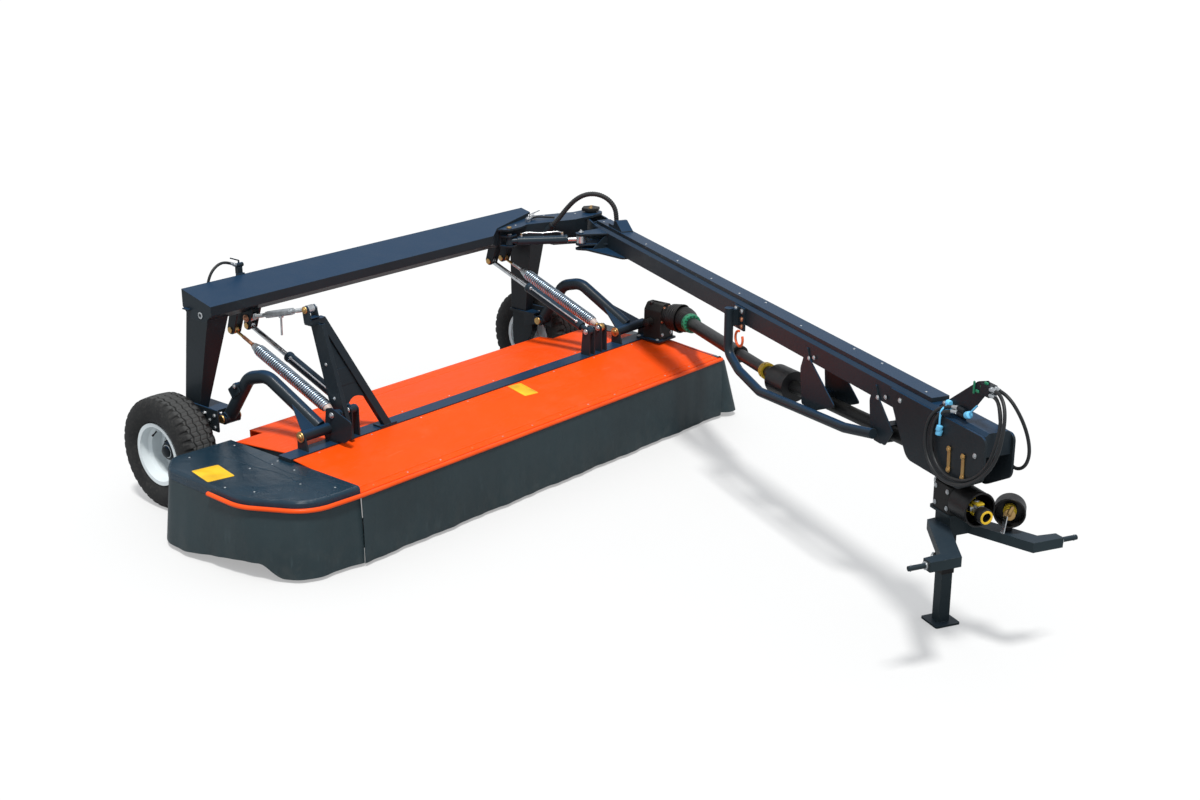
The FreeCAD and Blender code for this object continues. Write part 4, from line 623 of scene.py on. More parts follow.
def swivel_bundle():
    """Tube whose radius swells and sinks, as a rounded tooth, once a turn of the spiral wrap."""
    line = along(BUNDLE, 360)
    _, side, top = frames(line, np.cross(UP, BUNDLE_WAY))
    far = distances(line)
    c = ring(1, 24)
    turn = np.arctan2(c[:, 1], c[:, 0])
    wave = np.cos(2 * math.pi * far[:, None] / WRAP_PITCH - turn[None])
    radius = (BUNDLE_R - WRAP_DEPTH + WRAP_DEPTH * np.tanh(3 * wave))[..., None]
    tube = line[:, None] + radius * (c[None, :, :1] * side[:, None] + c[None, :, 1:] * top[:, None])
    ends = [np.broadcast_to(line[i], (1, 24, 3)) for i in (0, -1)]
    s = Shape()
    s.grid(np.concatenate([ends[0], tube, ends[1]]), HOSE)
    hose = s.make("swivel_hose_piece", None, ["swivel_hose"], 50)
    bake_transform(hose)


swivel_bundle()


# ---- tyres ----
LUGS = 38


def tyre(name, side, body):
    """Section turned round the axle. A zigzag groove mask between ribs and side lugs sink its crown."""
    half = 132.0
    wall = [(-share * half, r) for share, r in ((0.74, 213.0), (0.80, 218), (0.90, 238), (0.985, 268),
                                                (1, 295), (0.975, 325), (0.90, 350), (0.80, 367))]
    crown = [(x, WHEEL_R - 5.5 * (x / 88) ** 2) for x in np.linspace(-92, 92, 77)]
    near = bend(wall, 4)
    section = np.vstack([near[:-1], [(-0.74 * half - 2, 368.5)], crown, [(0.74 * half + 2, 368.5)],
                         near[:-1][::-1] * (-1, 1)])
    turn = np.linspace(0, 2 * math.pi, 456, endpoint=False)
    x, r = section[:, 0][None], section[:, 1][None]
    zig = np.abs((turn * LUGS / (2 * math.pi)) % 1 * 4 - 2)[:, None] - 1     # triangle wave
    depth = np.zeros((len(turn), len(section)))
    for middle, swing in ((-52, 6), (0, 6), (52, 6)):
        depth = np.maximum(depth, np.clip(1.6 - np.abs(x - middle - swing * zig) / 4.0, 0, 1))
    step = (turn * LUGS / (2 * math.pi) + 0.25)[:, None] % 1
    gap = np.clip(1.7 - np.abs(step - 0.5) / 0.13, 0, 1) * np.clip((np.abs(x) - 70) / 5, 0, 1)
    depth = np.maximum(depth, gap * (r > 334))
    sipe = np.clip(1.2 - np.abs((step * 2) % 1 - 0.5) / 0.09, 0, 1) * (np.abs(x) < 74) * 0.35
    depth = np.maximum(depth, sipe)
    r = (r - np.where(r > 352, 10.0, 6.0) * depth * (r > 334)) / 1000
    ripple = 0.0006 * np.sin(2 * math.pi * section[:, 1] / 9)[None] * (section[:, 1] < 340)[None]
    x = np.broadcast_to(x / 1000, r.shape) * (1 + ripple)
    centre = machine([WHEEL_X[side], 0, WHEEL_R])
    around = np.stack([centre[0] + x, centre[1] + r * np.cos(turn)[:, None],
                       centre[2] + r * np.sin(turn)[:, None]], -1)
    s = Shape()
    s.grid(around.transpose(1, 0, 2)[np.r_[0:len(section), 0]], TYRE)
    s.make(name + "_piece", body, [name], 40)


tyre("tyre_right", -1, "wheel_right")
tyre("tyre_left", 1, "wheel_left")


def wheel_trim(side, body):
    """Nuts on their studs, grease cap, valve and rim-lip bead of one wheel."""
    s = Shape()
    out = X * side

    def hub(far):
        """The middle of the wheel, moved outwards."""
        return machine([WHEEL_X[side] + side * far, 0, WHEEL_R])
    for k in range(6):
        a = 2 * math.pi * k / 6 + 0.3
        s.turned([(0, 0), (0, 16), (3, 16), (3, 12), (18, 11), (18, 7), (30, 7), (31, 0)],
                 hub(-50) + 0.098 * np.array([0, math.cos(a), math.sin(a)]), out, GEAR, 6)
    s.turned([(-49, 0), (-49, 74), (-30, 74), (-26, 66), (20, 64), (30, 56), (34, 40), (46, 38), (54, 28),
              (56, 0)], hub(0), out, PLATE, 32)
    for far, radius, thick in ((-46, 132, 5), (92, 200, 4), (60, 184, 3)):
        ring_torus(s, hub(far), X, radius, thick, RIM, 60)
    s.turned([(0, 0), (0, 6), (34, 5), (34, 7), (46, 7), (47, 0)],
             hub(40) + 0.150 * np.array([0, 0.6, 0.8]), out + np.array([0, -0.3, -0.4]), BLACK, 10)
    s.make("wheel_trim_" + ("right" if side < 0 else "left"), body)


wheel_trim(-1, "wheel_right")
wheel_trim(1, "wheel_left")


# ---- float springs ----
LIFT_LOW = np.array([-1040.0, 725.0])
LIFT_HIGH = np.array([-50.0, 1100.0])
LIFT_WAY = unit([0, *(LIFT_HIGH - LIFT_LOW)])


def lift_point(x, far):
    """A place on the line of a lift cylinder or spring, so far from its lower pin."""
    return machine([x, LIFT_LOW[0] + LIFT_WAY[1] * far, LIFT_LOW[1] + LIFT_WAY[2] * far])


def float_springs():
    """Coil of round wire along a helix on the spring's line, its eye, clear cone and top plug."""
    s = Shape()
    side, top = X, np.cross(X, LIFT_WAY)
    for x in (-SPRING_X, SPRING_X):
        turns, per = 40, 24
        t = np.linspace(0, 1, turns * per + 1)
        a = 2 * math.pi * turns * t
        far = 84 + 716 * t
        radius = 34.6 - 5 * np.clip(1 - np.minimum(t, 1 - t) * turns / 1.5, 0, 1)
        line = (lift_point(x, 0) + far[:, None] / 1000 * LIFT_WAY
                + radius[:, None] / 1000 * (np.cos(a)[:, None] * side + np.sin(a)[:, None] * top))
        s.tube(line, 0.0071, SPRING, 10, LIFT_WAY)
        # eye and its forked plug, then the clear cone inside the first turns, and the top plug
        c = ring(1, 28)
        eye = [(-20, 15.6), (-20, 28), (-18, 30), (18, 30), (20, 28), (20, 15.6), (-20, 15.6)]
        s.grid(np.stack([lift_point(x, 0) + (w * X + r * (c[:, :1] * Y + c[:, 1:] * UP)) / 1000
                         for w, r in eye]), GOLD if x > 0 else CYLINDER)
        s.solid([(26, 13), (58, 14)], lift_point(x, 0), LIFT_WAY, GOLD, 20)
        s.solid([(44, 17), (50, 20), (86, 31), (118, 31.5), (120, 12)], lift_point(x, 0), LIFT_WAY, CLEAR, 28)
        s.turned([(786, 20.5), (786, 31), (812, 31), (826, 26), (840, 24), (840, 20.5), (786, 20.5)],
                 lift_point(x, 0), LIFT_WAY, ZINC, 28)
    s.make("float_springs_piece", "lift_cylinders", ["float_springs"], 45)


float_springs()


def cylinder_trim():
    """Glands, ports and pipes of the lift cylinders, nuts and threads of the spring adjusters."""
    s = Shape()
    for x in (-CYLINDER_X, CYLINDER_X):
        s.turned([(628, 18), (628, 36), (634, 37), (650, 37), (656, 34), (662, 22), (662, 17.8)],
                 lift_point(x, 0), LIFT_WAY, CYLINDER, 28)
        out = unit([-0.75, -0.25, 0.6])
        for far in (112, 600):
            s.turned([(28, 0), (28, 12), (44, 12), (45, 0)], lift_point(x, far), out, ZINC, 6)
            s.solid([(40, 8), (52, 8), (54, 4)], lift_point(x, far), out, ZINC, 10)
        off = out * 0.047
        pipe = ((112, 1), (150, 1.12), (330, 1.08), (560, 1.12), (600, 1))
        path = bend([lift_point(x, far) + off * lift for far, lift in pipe], 10)
        s.tube(path, 0.0052, CHROME, 10, out)
    s.make("lift_cylinder_trim", "lift_cylinders")
    s = Shape()
    for x in (-SPRING_X, SPRING_X):
        brass = COPPER if x < 0 else ZINC
        s.turned([(826, 10.3), (826, 19), (842, 19), (842, 10.3)], lift_point(x, 0), LIFT_WAY, ZINC, 6)
        s.turned([(846, 10.3), (846, 17), (860, 17), (860, 10.3)], lift_point(x, 0), LIFT_WAY, brass, 6)
        ridge = np.arange(862, 958, 2.0)
        s.turned([(862, 9)] + [(d, 12.2 if k % 2 else 10.6) for k, d in enumerate(ridge)] + [(960, 9)],
                 lift_point(x, 0), LIFT_WAY, brass, 14)
    s.make("spring_adjuster_trim", "lift_rods")


cylinder_trim()


# ---- curtains ----
EDGE_Y = -1714.3


def cover_z(y):
    """Height of the covers' tops, which fall from 540 mm ahead of and behind the header's frame tube."""
    y = np.asarray(y, float)
    return np.where(y < -1080, 540 - 60 * (-1080 - y) / 620, 540 - 60 * (y + 960) / 660)


def ease(share):
    """0 to 1 with level ends."""
    t = np.clip(share, 0, 1)
    return t * t * (3 - 2 * t)


def rounded(points, radii, step=12.0):
    """A plan line with its corners turned as arcs; straight runs are filled in at about a step."""
    out = []
    for k, r in enumerate(radii):
        p = np.asarray(points[k], float)
        if r == 0:
            out.append(p[None])
            continue
        a, b = unit(np.subtract(points[k - 1], p)), unit(np.subtract(points[k + 1], p))
        half = math.acos(np.clip(a @ b, -1, 1)) / 2
        reach = r / math.tan(half)
        middle = p + unit(a + b) * r / math.sin(half)
        first, last = p + a * reach - middle, p + b * reach - middle
        angle = math.atan2(first[0] * last[1] - first[1] * last[0], first @ last)
        t = np.linspace(0, angle, max(int(abs(angle) * r / step), 4))
        out.append(middle + np.stack([first[0] * np.cos(t) - first[1] * np.sin(t),
                                      first[0] * np.sin(t) + first[1] * np.cos(t)], -1))
    line = np.vstack(out)
    far = distances(line)
    to = np.linspace(0, far[-1], int(far[-1] / step) + 1)
    return np.stack([np.interp(to, far, line[:, i]) for i in range(2)], 1), to


def hang(s, plan, far, top, foot, folds, finish, thick=4.5):
    """Curtain under a plan line. folds(distance, share of the drop) is its swing outwards, in mm."""
    share = np.linspace(0, 1, 30)[None] ** 0.9
    way = np.gradient(plan, axis=0)
    way /= np.linalg.norm(way, axis=1, keepdims=True)
    out = np.stack([way[:, 1], -way[:, 0]], -1)[:, None]
    top, foot = (np.broadcast_to(np.asarray(v, float), len(plan))[:, None] for v in (top, foot))
    swing = folds(far[:, None], share)
    z = top + (foot - top) * share
    skins = []
    for offset in (thick / 2, -thick / 2):
        flat = plan[:, None] + out * (swing + offset)[..., None]
        skins.append(np.concatenate([flat, z[..., None]], -1))
    both = np.concatenate([skins[0], skins[1][:, ::-1]], 1)
    ends = []
    for i in (0, -1):
        middle = (both[i, :30] + both[i, 30:][::-1]) / 2
        ends.append(np.concatenate([middle, middle[::-1]])[None])
    s.grid(machine(np.concatenate([ends[0], both, ends[1]])), finish)


def front_folds(far, share):
    """Waves along the curtain that grow from the rail to the foot, a slack belly and a hem."""
    waves = (5.0 * np.sin(far / 96 + 0.7) + 3.2 * np.sin(far / 41 + 1.9 + 0.6 * share)
             + 1.8 * np.sin(far / 19.5 + 0.4))
    belly = 7 * np.sin(math.pi * share) * (0.6 + 0.4 * np.sin(far / 260))
    hem = 2.0 * np.exp(-((share - 0.93) / 0.03) ** 2)
    return share ** 1.3 * waves + belly + hem


def front_curtain():
    """Curtain on the front tube, in one piece."""
    plan = np.stack([np.linspace(-1694, 1903, 420), np.full(420, EDGE_Y)], 1)
    s = Shape()
    hang(s, plan, plan[:, 0] + 1694, 450, 24, front_folds, CURTAIN)
    skirt = s.make("front_skirt_piece", "front_curtain", ["front_skirt"], 60)


front_curtain()

END_RUN = [(-1690.3, -1700), (-2060, -1676), (-2280, -1300), (-2260, -560), (-2130, -420), (-1690.3, -440)]
END_RADII = [0, 260, 300, 120, 120, 0]


def end_folds(far, share):
    """Bulges and pleats that grow towards the foot, held flat at the rail."""
    return -4 + share ** 1.2 * (9 * np.sin(far / 118 + 2.4) + 5.5 * np.sin(far / 52 + 0.8 + share)
                                + 2.0 * np.sin(far / 23 + 1.1)) + 5 * np.sin(math.pi * share)


def end_curtains():
    """Curtain round the right end, and on the left a short flare with its lid."""
    plan, far = rounded(END_RUN, END_RADII)
    keep = ~((plan[:, 0] > -2080) & (plan[:, 1] > -700))
    plan, far = plan[keep][::-1], far[keep][::-1]
    foot = 24 + 88 * ease((plan[:, 1] + 1530) / 150) - 78 * ease((plan[:, 1] + 1400) / 750)
    corner = np.exp(-((plan[:, 0] + 2150) ** 2 + (plan[:, 1] + 1600) ** 2) / 140 ** 2)[:, None]
    wide = 42 * ease((plan[:, 1] + 1350) / 500)[:, None] + 26 * corner
    s = Shape()
    hang(s, plan, far, 452, foot, lambda far, share: end_folds(far, share) + wide * share ** 1.3,
         CURTAIN)
    right = s.make("end_skirt_right_piece", "header", ["end_skirts"], 60)
    plan, far = rounded([(1907, -1703), (2010, -1700), (2016, -1100), (1907, -1092)], [0, 70, 60, 0])
    s = Shape()
    flare = 92 * ease((plan[:, 0] - 1907) / 90)[:, None]
    top = float(cover_z(-1700)) - 8 - 52 * ease((plan[:, 0] - 1907) / 105)
    foot = 40 + 70 * ease((plan[:, 1] + 1500) / 300)

    def left_folds(far, share):
        """Flare that grows to the foot, with small pleats on it."""
        return flare * share + share ** 1.2 * (5 * np.sin(far / 60 + 1) + 3 * np.sin(far / 27))
    hang(s, plan, far, top, foot, left_folds, CURTAIN)
    across, back = np.linspace(0, 1, 16)[:, None], np.linspace(-1698, -1097, 50)[None]
    end = 1907 + 110 * np.minimum(1, np.minimum(back + 1703, -1094 - back) / 62) ** 0.5
    x = 1880 + (end - 1880) * across
    rim = 472 - 52 * ease((end - 1907) / 105)
    z = cover_z(back) * (1 - across) + rim * across + 16 * np.sin(math.pi * across) + 3
    lid = np.stack([x, back + 0 * x, z], -1)
    both = np.concatenate([lid, lid[::-1] - (0, 0, 5)])
    ring_up = np.concatenate([both, both[:1]])
    caps = [np.broadcast_to(ring_up[:, i:i + 1].mean(0, keepdims=True), ring_up[:, i:i + 1].shape)
            for i in (0, -1)]
    s.grid(machine(np.concatenate([caps[0], ring_up, caps[1]], 1).transpose(1, 0, 2)), END_COVER)
    left = s.make("end_skirt_left_piece", "header", (), 60)


end_curtains()


# ---- covers ----
def pucker(x, y):
    """Shallow waves of the stretched cloth in millimetres, each a product of slow sines."""
    broad = 1.5 * np.sin(x / 310 + y / 190 + 0.5) * np.sin(y / 120 + 1)
    slant = 0.9 * np.sin(x / 92 - y / 75) * np.clip(np.sin(x / 520 + 1.2), 0, 1)
    fine = 0.6 * np.sin(x / 47 + y / 60 + 2) * np.clip(np.sin(x / 700), 0, 1)
    return broad + slant + fine


def cover(s, x0, x1, line, finish, along_x=220):
    """Closed strip carried along x. line holds (y, height above the slopes, share of pucker)."""
    x = np.linspace(x0, x1, along_x)[:, None]
    y = np.array([p[0] for p in line])[None]
    rise = np.array([p[1] for p in line])[None]
    loose = np.array([p[2] for p in line])[None]
    edge = np.clip(np.minimum(x - x0, x1 - x) / 40, 0, 1)
    z = cover_z(y) + rise + (pucker(x, y) + 1.2) * loose * edge
    grid = np.stack([np.broadcast_to(x, z.shape), np.broadcast_to(y, z.shape), z], -1)
    middle = grid.mean(1, keepdims=True)
    flat = [np.broadcast_to(middle[i][None], grid[i:i + 1].shape) for i in (0, -1)]
    s.grid(machine(np.concatenate([flat[0], grid, flat[1]])), finish)


def strip(y0, y1, n, thick=6.5, front_lip=False):
    """Outline of a cover strip: along its top, with a welt if front_lip, and back underneath."""
    top = [(y, 0.0, math.sin(math.pi * (y - y0) / (y1 - y0)) ** 0.5) for y in np.linspace(y0 + 4, y1 - 4, n)]
    if front_lip:
        welt = ((50, 0.0), (53, -2.2), (57, -2.2), (60, 1.6), (66, 1.6), (70, 0.2))
        top += [(y0 + far, rise, 0.15) for far, rise in welt]
        top.sort()
    ends = [(y1, -2.0, 0), (y1, -thick, 0)] + [(y, -thick, 0) for y in np.linspace(y1 - 60, y0 + 60, 6)]
    return top + ends + [(y0, -thick, 0), (y0, -2.0, 0)]


def covers():
    """Front cover, and the rear cover with its parts behind the arms and its flaps."""
    s = Shape()
    cover(s, -1690, 1905, strip(-1699, -1081, 34, front_lip=True), ORANGE, 300)
    front = s.make("front_cover_piece", "header", ["front_cover"], 50)
    s = Shape()
    cover(s, -1640, 1785, strip(-951, -441, 26), ORANGE, 280)
    cover(s, -1420, 1420, strip(-444, -301, 12), ORANGE, 220)
    for x0, x1, y in ((-1640, -1424, -443), (-1418, 1418, -303), (1424, 1785, -443)):
        plan = np.stack([np.linspace(x1, x0, int((x1 - x0) / 12)), np.full(int((x1 - x0) / 12), float(y))], 1)
        hang(s, plan, x1 - plan[:, 0], float(cover_z(y)) - 2, 312,
             lambda far, share: share * (3 * np.sin(far / 60 + 1) + 2 * np.sin(far / 27)), ORANGE)
    rear = s.make("rear_cover_piece", "header", ["rear_cover"], 50)


covers()


def plate(s, centre, size, turn, finish, normal, corner=10.0, thick=1.6):
    """Thin blank plate with rounded corners, laid square to a normal and turned about it in degrees."""
    n = unit(normal)
    a = unit(np.cross(np.cross(n, X), n) if abs(n @ X) < 0.9 else np.cross(np.cross(n, Y), n))
    b = np.cross(n, a)
    c, d = math.cos(math.radians(turn)), math.sin(math.radians(turn))
    a, b = a * c + b * d, b * c - a * d
    w, h = size[0] / 2, size[1] / 2
    corners = [(0, -h), (w, -h), (w, h), (-w, h), (-w, -h), (0, -h)]
    outline, _ = rounded(corners, [0] + [corner] * 4 + [0], 3.0)
    o = outline[:-1] / 1000
    flat = o[:, :1] * a + o[:, 1:] * b
    rows = [(0, 0), (0, 1), (thick * 0.7, 1), (thick, 0.985), (thick, 0)]
    s.grid(np.stack([np.asarray(centre) + n * d / 1000 + flat * k for d, k in rows]), finish)


def on_cover(x, y, lift):
    """A place so many millimetres above the covers' slopes."""
    return machine([x, y, float(cover_z(y)) + lift])


def header_trim():
    """Rivets, seams and blank plates of the covers, caps of the hinges and heads of the lift pins."""
    s = Shape()
    for x in np.arange(-1560, 1850, 284.0):
        s.rivet(on_cover(x, -1672.0, 0.5), UP, GOLD if int(x) % 3 == 0 else ZINC, 6.5)
    for x in (-1500, -1060, -620, -180, 260, 700, 1140, 1580):
        for y in (-1108, -925):
            s.rivet(on_cover(x, y, 1), UP, ZINC, 6)
    plate(s, on_cover(268, -1205, 2.6), (120, 205), -9, PLATE_YELLOW, (0, -60 / 620, 1))
    plate(s, machine([-2135, -858, 522.3]), (178, 236), -12, PLATE_YELLOW, UP)
    for x, y in ((-1934, -961), (-1800, -1010), (-1772, -1190), (-1900, -1400), (-1800, -1600),
                 (-2230, -1100), (-1740, -990), (-1740, -560), (-2060, -520), (-2160, -1290)):
        s.rivet(machine([x, y, 521.6]), UP, ZINC, 7)
    for line in (((-1905, -1630), (-1886, -1400), (-1868, -1150), (-1898, -940), (-1915, -620)),
                 ((-1735, -1640), (-1770, -1420), (-1822, -1230), (-1800, -960), (-1752, -600))):
        path = bend([machine([a, b, 519.5]) for a, b in line], 14)
        s.tube(path, 0.0042, END_COVER, 8)
    for side, (right, left) in zip((-1, 1), HINGES):
        for x, way in ((right - 14, -X), (left + 14, X)):
            s.turned([(0, 0), (0, 34), (5, 36), (9, 34), (10, 22), (16, 19), (20, 10), (21, 0)],
                     machine([x, -1000, 632]), way, GOLD, 28)
        for x in (side * CYLINDER_X, side * SPRING_X):
            for way in (-1, 1):
                s.solid([(0, 20), (3, 21), (6, 19)], machine([x + way * 32.5, *LIFT_LOW]), way * X, ZINC, 20)
                s.bolt(machine([x + way * 38.5, *LIFT_LOW]), way * X, ZINC, 14, False)
    # cross plate at the top of the top link's bracket
    s.box(machine([-1290, -862, 1335]), (70, 60, 6), FRAME)
    s.make("header_trim", "header")

header_trim()


def bracket_plates():
    """Web, flange, bolts and pin heads of the top link's bracket, and a plate beside the right lugs."""
    s = Shape()
    base, top = np.array([-1056.0, 545.3]), np.array([-856.0, 1322.0])
    near, far = (-1226.0, -1254.0), (-880.0, -1232.0)
    u = np.linspace(0, 1, 25)[:, None]
    v = np.linspace(0, 1, 31)[None]
    low = 0.155 + 0.10 * u + 0.10 * np.sin(math.pi * u)
    share = low + (0.985 - low) * v
    x0, x1 = near[0] + (near[1] - near[0]) * share, far[0] + (far[1] - far[0]) * share
    x = x0 + (x1 - x0) * u
    y = base[0] + (top[0] - base[0]) * share
    z = base[1] + (top[1] - base[1]) * share
    sheet = np.stack([x, y - 4, z], -1)
    back = sheet + (0, 8, 0)
    s.grid(machine(np.concatenate([sheet, back[:, ::-1]], 1)), FRAME)
    for i in (0, -1):
        s.grid(machine(np.stack([sheet[i], back[i]], 1)), FRAME, False)
    share = np.linspace(0.015, 0.96, 24)[:, None]
    wide = 58 + 14 * (1 - share)
    ring4 = np.array([(-8, -1.0), (22, -1.0), (22, -0.86), (0, -0.86), (0, 0.95), (-8, 0.95)])
    x = near[0] + (near[1] - near[0]) * share - 11 + ring4[None, :, 0]
    y = base[0] + (top[0] - base[0]) * share + wide * ring4[None, :, 1]
    z = base[1] + (top[1] - base[1]) * share + 0 * y
    body = np.stack([x, y, z], -1)
    ends = [np.broadcast_to(body[i].mean(0), (1, 6, 3)) for i in (0, -1)]
    s.grid(machine(np.concatenate([ends[0], body, ends[1]])), FRAME)
    side, _ = rounded([(-960, 562), (-1150, 562), (-1212, 606), (-1228, 716), (-1036, 776), (-985, 760),
                       (-960, 562)], [0, 14, 20, 26, 12, 12, 0], 6.0)
    loop = np.array([(-1329.0, y, z) for y, z in side])
    middle = np.broadcast_to(loop.mean(0), loop.shape)
    s.grid(machine(np.stack([middle, loop, loop + (6, 0, 0), middle + (6, 0, 0)])), FRAME)
    for share in (0.34, 0.62):
        at = [near[0] + (near[1] - near[0]) * share - 19, base[0] + (top[0] - base[0]) * share,
              base[1] + (top[1] - base[1]) * share]
        s.bolt(machine(at), -X, ZINC, 10)
    for way in (-1, 1):
        s.turned([(0, 0), (0, 24), (4, 25), (8, 23), (9, 15), (16, 13), (19, 0)],
                 machine(LINK_FRONT + way * 38 * X), way * X, GOLD if way < 0 else ZINC, 24)
    s.make("bracket_plates", "header", (), 40)


bracket_plates()


def arm_stops():
    """Forked stop on the rear of each lift arm, with its pin."""
    s = Shape()
    for x in ARM_X:
        way = unit([0, -0.80, 0.60])
        for off in (-26, 26):
            s.box(machine([x + off, -352, 800]), (9, 110, 74), FRAME, (X, way, np.cross(X, way)), 6)
        s.solid([(-40, 19), (-34, 21), (34, 21), (40, 19)], machine([x, -372, 836]), X, FRAME, 24)
        s.bolt(machine([x - 40, -372, 836]), -X, ZINC, 12)
    s.make("arm_stops", "lift_arms")


arm_stops()


def top_link_trim():
    """Lock nuts and the knurled middle of the turnbuckle."""
    s = Shape()
    way = unit(LINK_FRONT - LINK_REAR)
    length = float(np.linalg.norm(LINK_FRONT - LINK_REAR))
    for far, size, finish in ((176, 24, ZINC), (length - 190, 24, ZINC), (36, 22, ZINC),
                              (length - 52, 20, GOLD)):
        s.turned([(0, 12), (0, size), (14, size), (14, 12)], machine(LINK_REAR + way * far), way, finish, 6)
    for far in (62, length - 132):
        thread = [(d, 14.6 if k % 2 else 13.1) for k, d in enumerate(np.arange(0, 78, 2.4))]
        s.turned([(0, 12)] + thread + [(78, 12)], machine(LINK_REAR + way * far), way, ZINC, 14)
    s.make("top_link_trim", "top_link")


top_link_trim()


def frame_trim():
    """Bolts of the legs, hangers and beam end, brass pins, valve fittings, levers on the swivel arm."""
    s = Shape()
    for side, end in ((-1, -1660.0), (1, 1545.0)):
        s.turned([(0, 13), (0, 22), (4, 23), (6, 20), (6, 13), (0, 13)],
                 machine([end + side * 0.3, -196, 1300]), side * X, ZINC, 24)
        s.box(machine([end + side * 12, -66, 1322]), (24, 64, 8), FRAME, (X, Y, UP), 2)
        s.box(machine([end + side * 8, -150, 606]), (12, 330, 150), PLATE, (X, unit([0, 1, 0.06]), UP), 5)
        for y, z in ((-280, 640), (-226, 600), (-280, 560), (-60, 560)):
            s.bolt(machine([end + side * 14.5, y, z]), side * X, ZINC, 13)
        for y in (-180, -70, 25):
            s.bolt(machine([end + side * 14, y, 640]), UP, ZINC, 16)
        for x in (side * CYLINDER_X, side * SPRING_X):
            for way in (-1, 1):
                s.turned([(0, 0), (0, 21), (4, 22), (7, 20), (8, 0)], machine([x + way * 33, *LIFT_HIGH]),
                         way * X, GOLD if way < 0 else ZINC, 20)
        for way in (-1, 1):
            s.turned([(0, 0), (0, 28), (6, 30), (12, 27), (14, 0)],
                     machine([ARM_X[side > 0] + way * 60.5, -250, 590]), way * X, GOLD, 24)
    for way in (-1, 1):
        s.turned([(0, 0), (0, 24), (4, 26), (9, 24), (10, 14), (17, 12), (18, 0)],
                 machine(LINK_REAR + way * 38 * X), way * X, COPPER if way < 0 else ZINC, 24)
    # swivel pin: dark hexagon cap with its keeper bolt
    s.solid([(0, 74), (8, 76), (22, 74), (24, 60)], machine([1980, -350, 1402]), UP, GEAR, 6)
    s.bolt(machine([1952, -372, 1426]), UP, GOLD, 14)
    s.bolt(machine([2008, -330, 1426]), UP, GOLD, 10)
    # ends of the swing cylinder's pin, and the valve with two levers on the arm
    s.turned([(0, 0), (0, 20), (10, 20), (13, 14), (14, 0)], machine([1140, -262, 1389]), UP, GOLD, 6)
    for x, y in ((1404, -214), (1474, -196)):
        at = machine([x, y, 1388])
        s.turned([(0, 0), (0, 17), (22, 17), (24, 13), (34, 13), (35, 0)], at, UP, ZINC, 20)
        s.solid([(-32, 12), (-14, 12), (-14, 16), (14, 16), (14, 12), (34, 12)],
                 at + UP * 0.020, unit([1, 0.25, 0]), CHROME, 18)
        s.tube(bend([at + UP * 0.034, at + UP * 0.048 + X * 0.010, at + UP * 0.056 + X * 0.045,
                     at + UP * 0.060 + X * 0.078], 6), 0.004, CHROME, 8, Y)
    s.tube(bend([machine([1438, -202, 1408]), machine([1500, -222, 1410]), machine([1560, -262, 1404]),
                 machine([1610, -300, 1399])], 8), 0.0075, HOSE, 10)
    for x, y in ((1250, -225), (1640, -160), (1760, -190), (1850, -300)):
        s.rivet(machine([x, y, 1388]), UP, ZINC, 9)
    # fittings of the shut-off valve's hose
    s.solid([(0, 14), (16, 14), (16, 10.5), (44, 10.5), (46, 9.6)], VALVE_HOSE[0], UP, ZINC, 12)
    s.solid([(-6, 13), (12, 13), (12, 10.5), (40, 10.5), (42, 9.6)], VALVE_HOSE[-1],
             unit(VALVE_HOSE[-2] - VALVE_HOSE[-1]), ZINC, 12)
    s.solid([(0, 26), (14, 27), (20, 25)], BUNDLE[0] - 0.022 * unit(BUNDLE[1] - BUNDLE[0]),
             BUNDLE[1] - BUNDLE[0], BLACK, 24)
    s.make("frame_trim", "frame")


frame_trim()


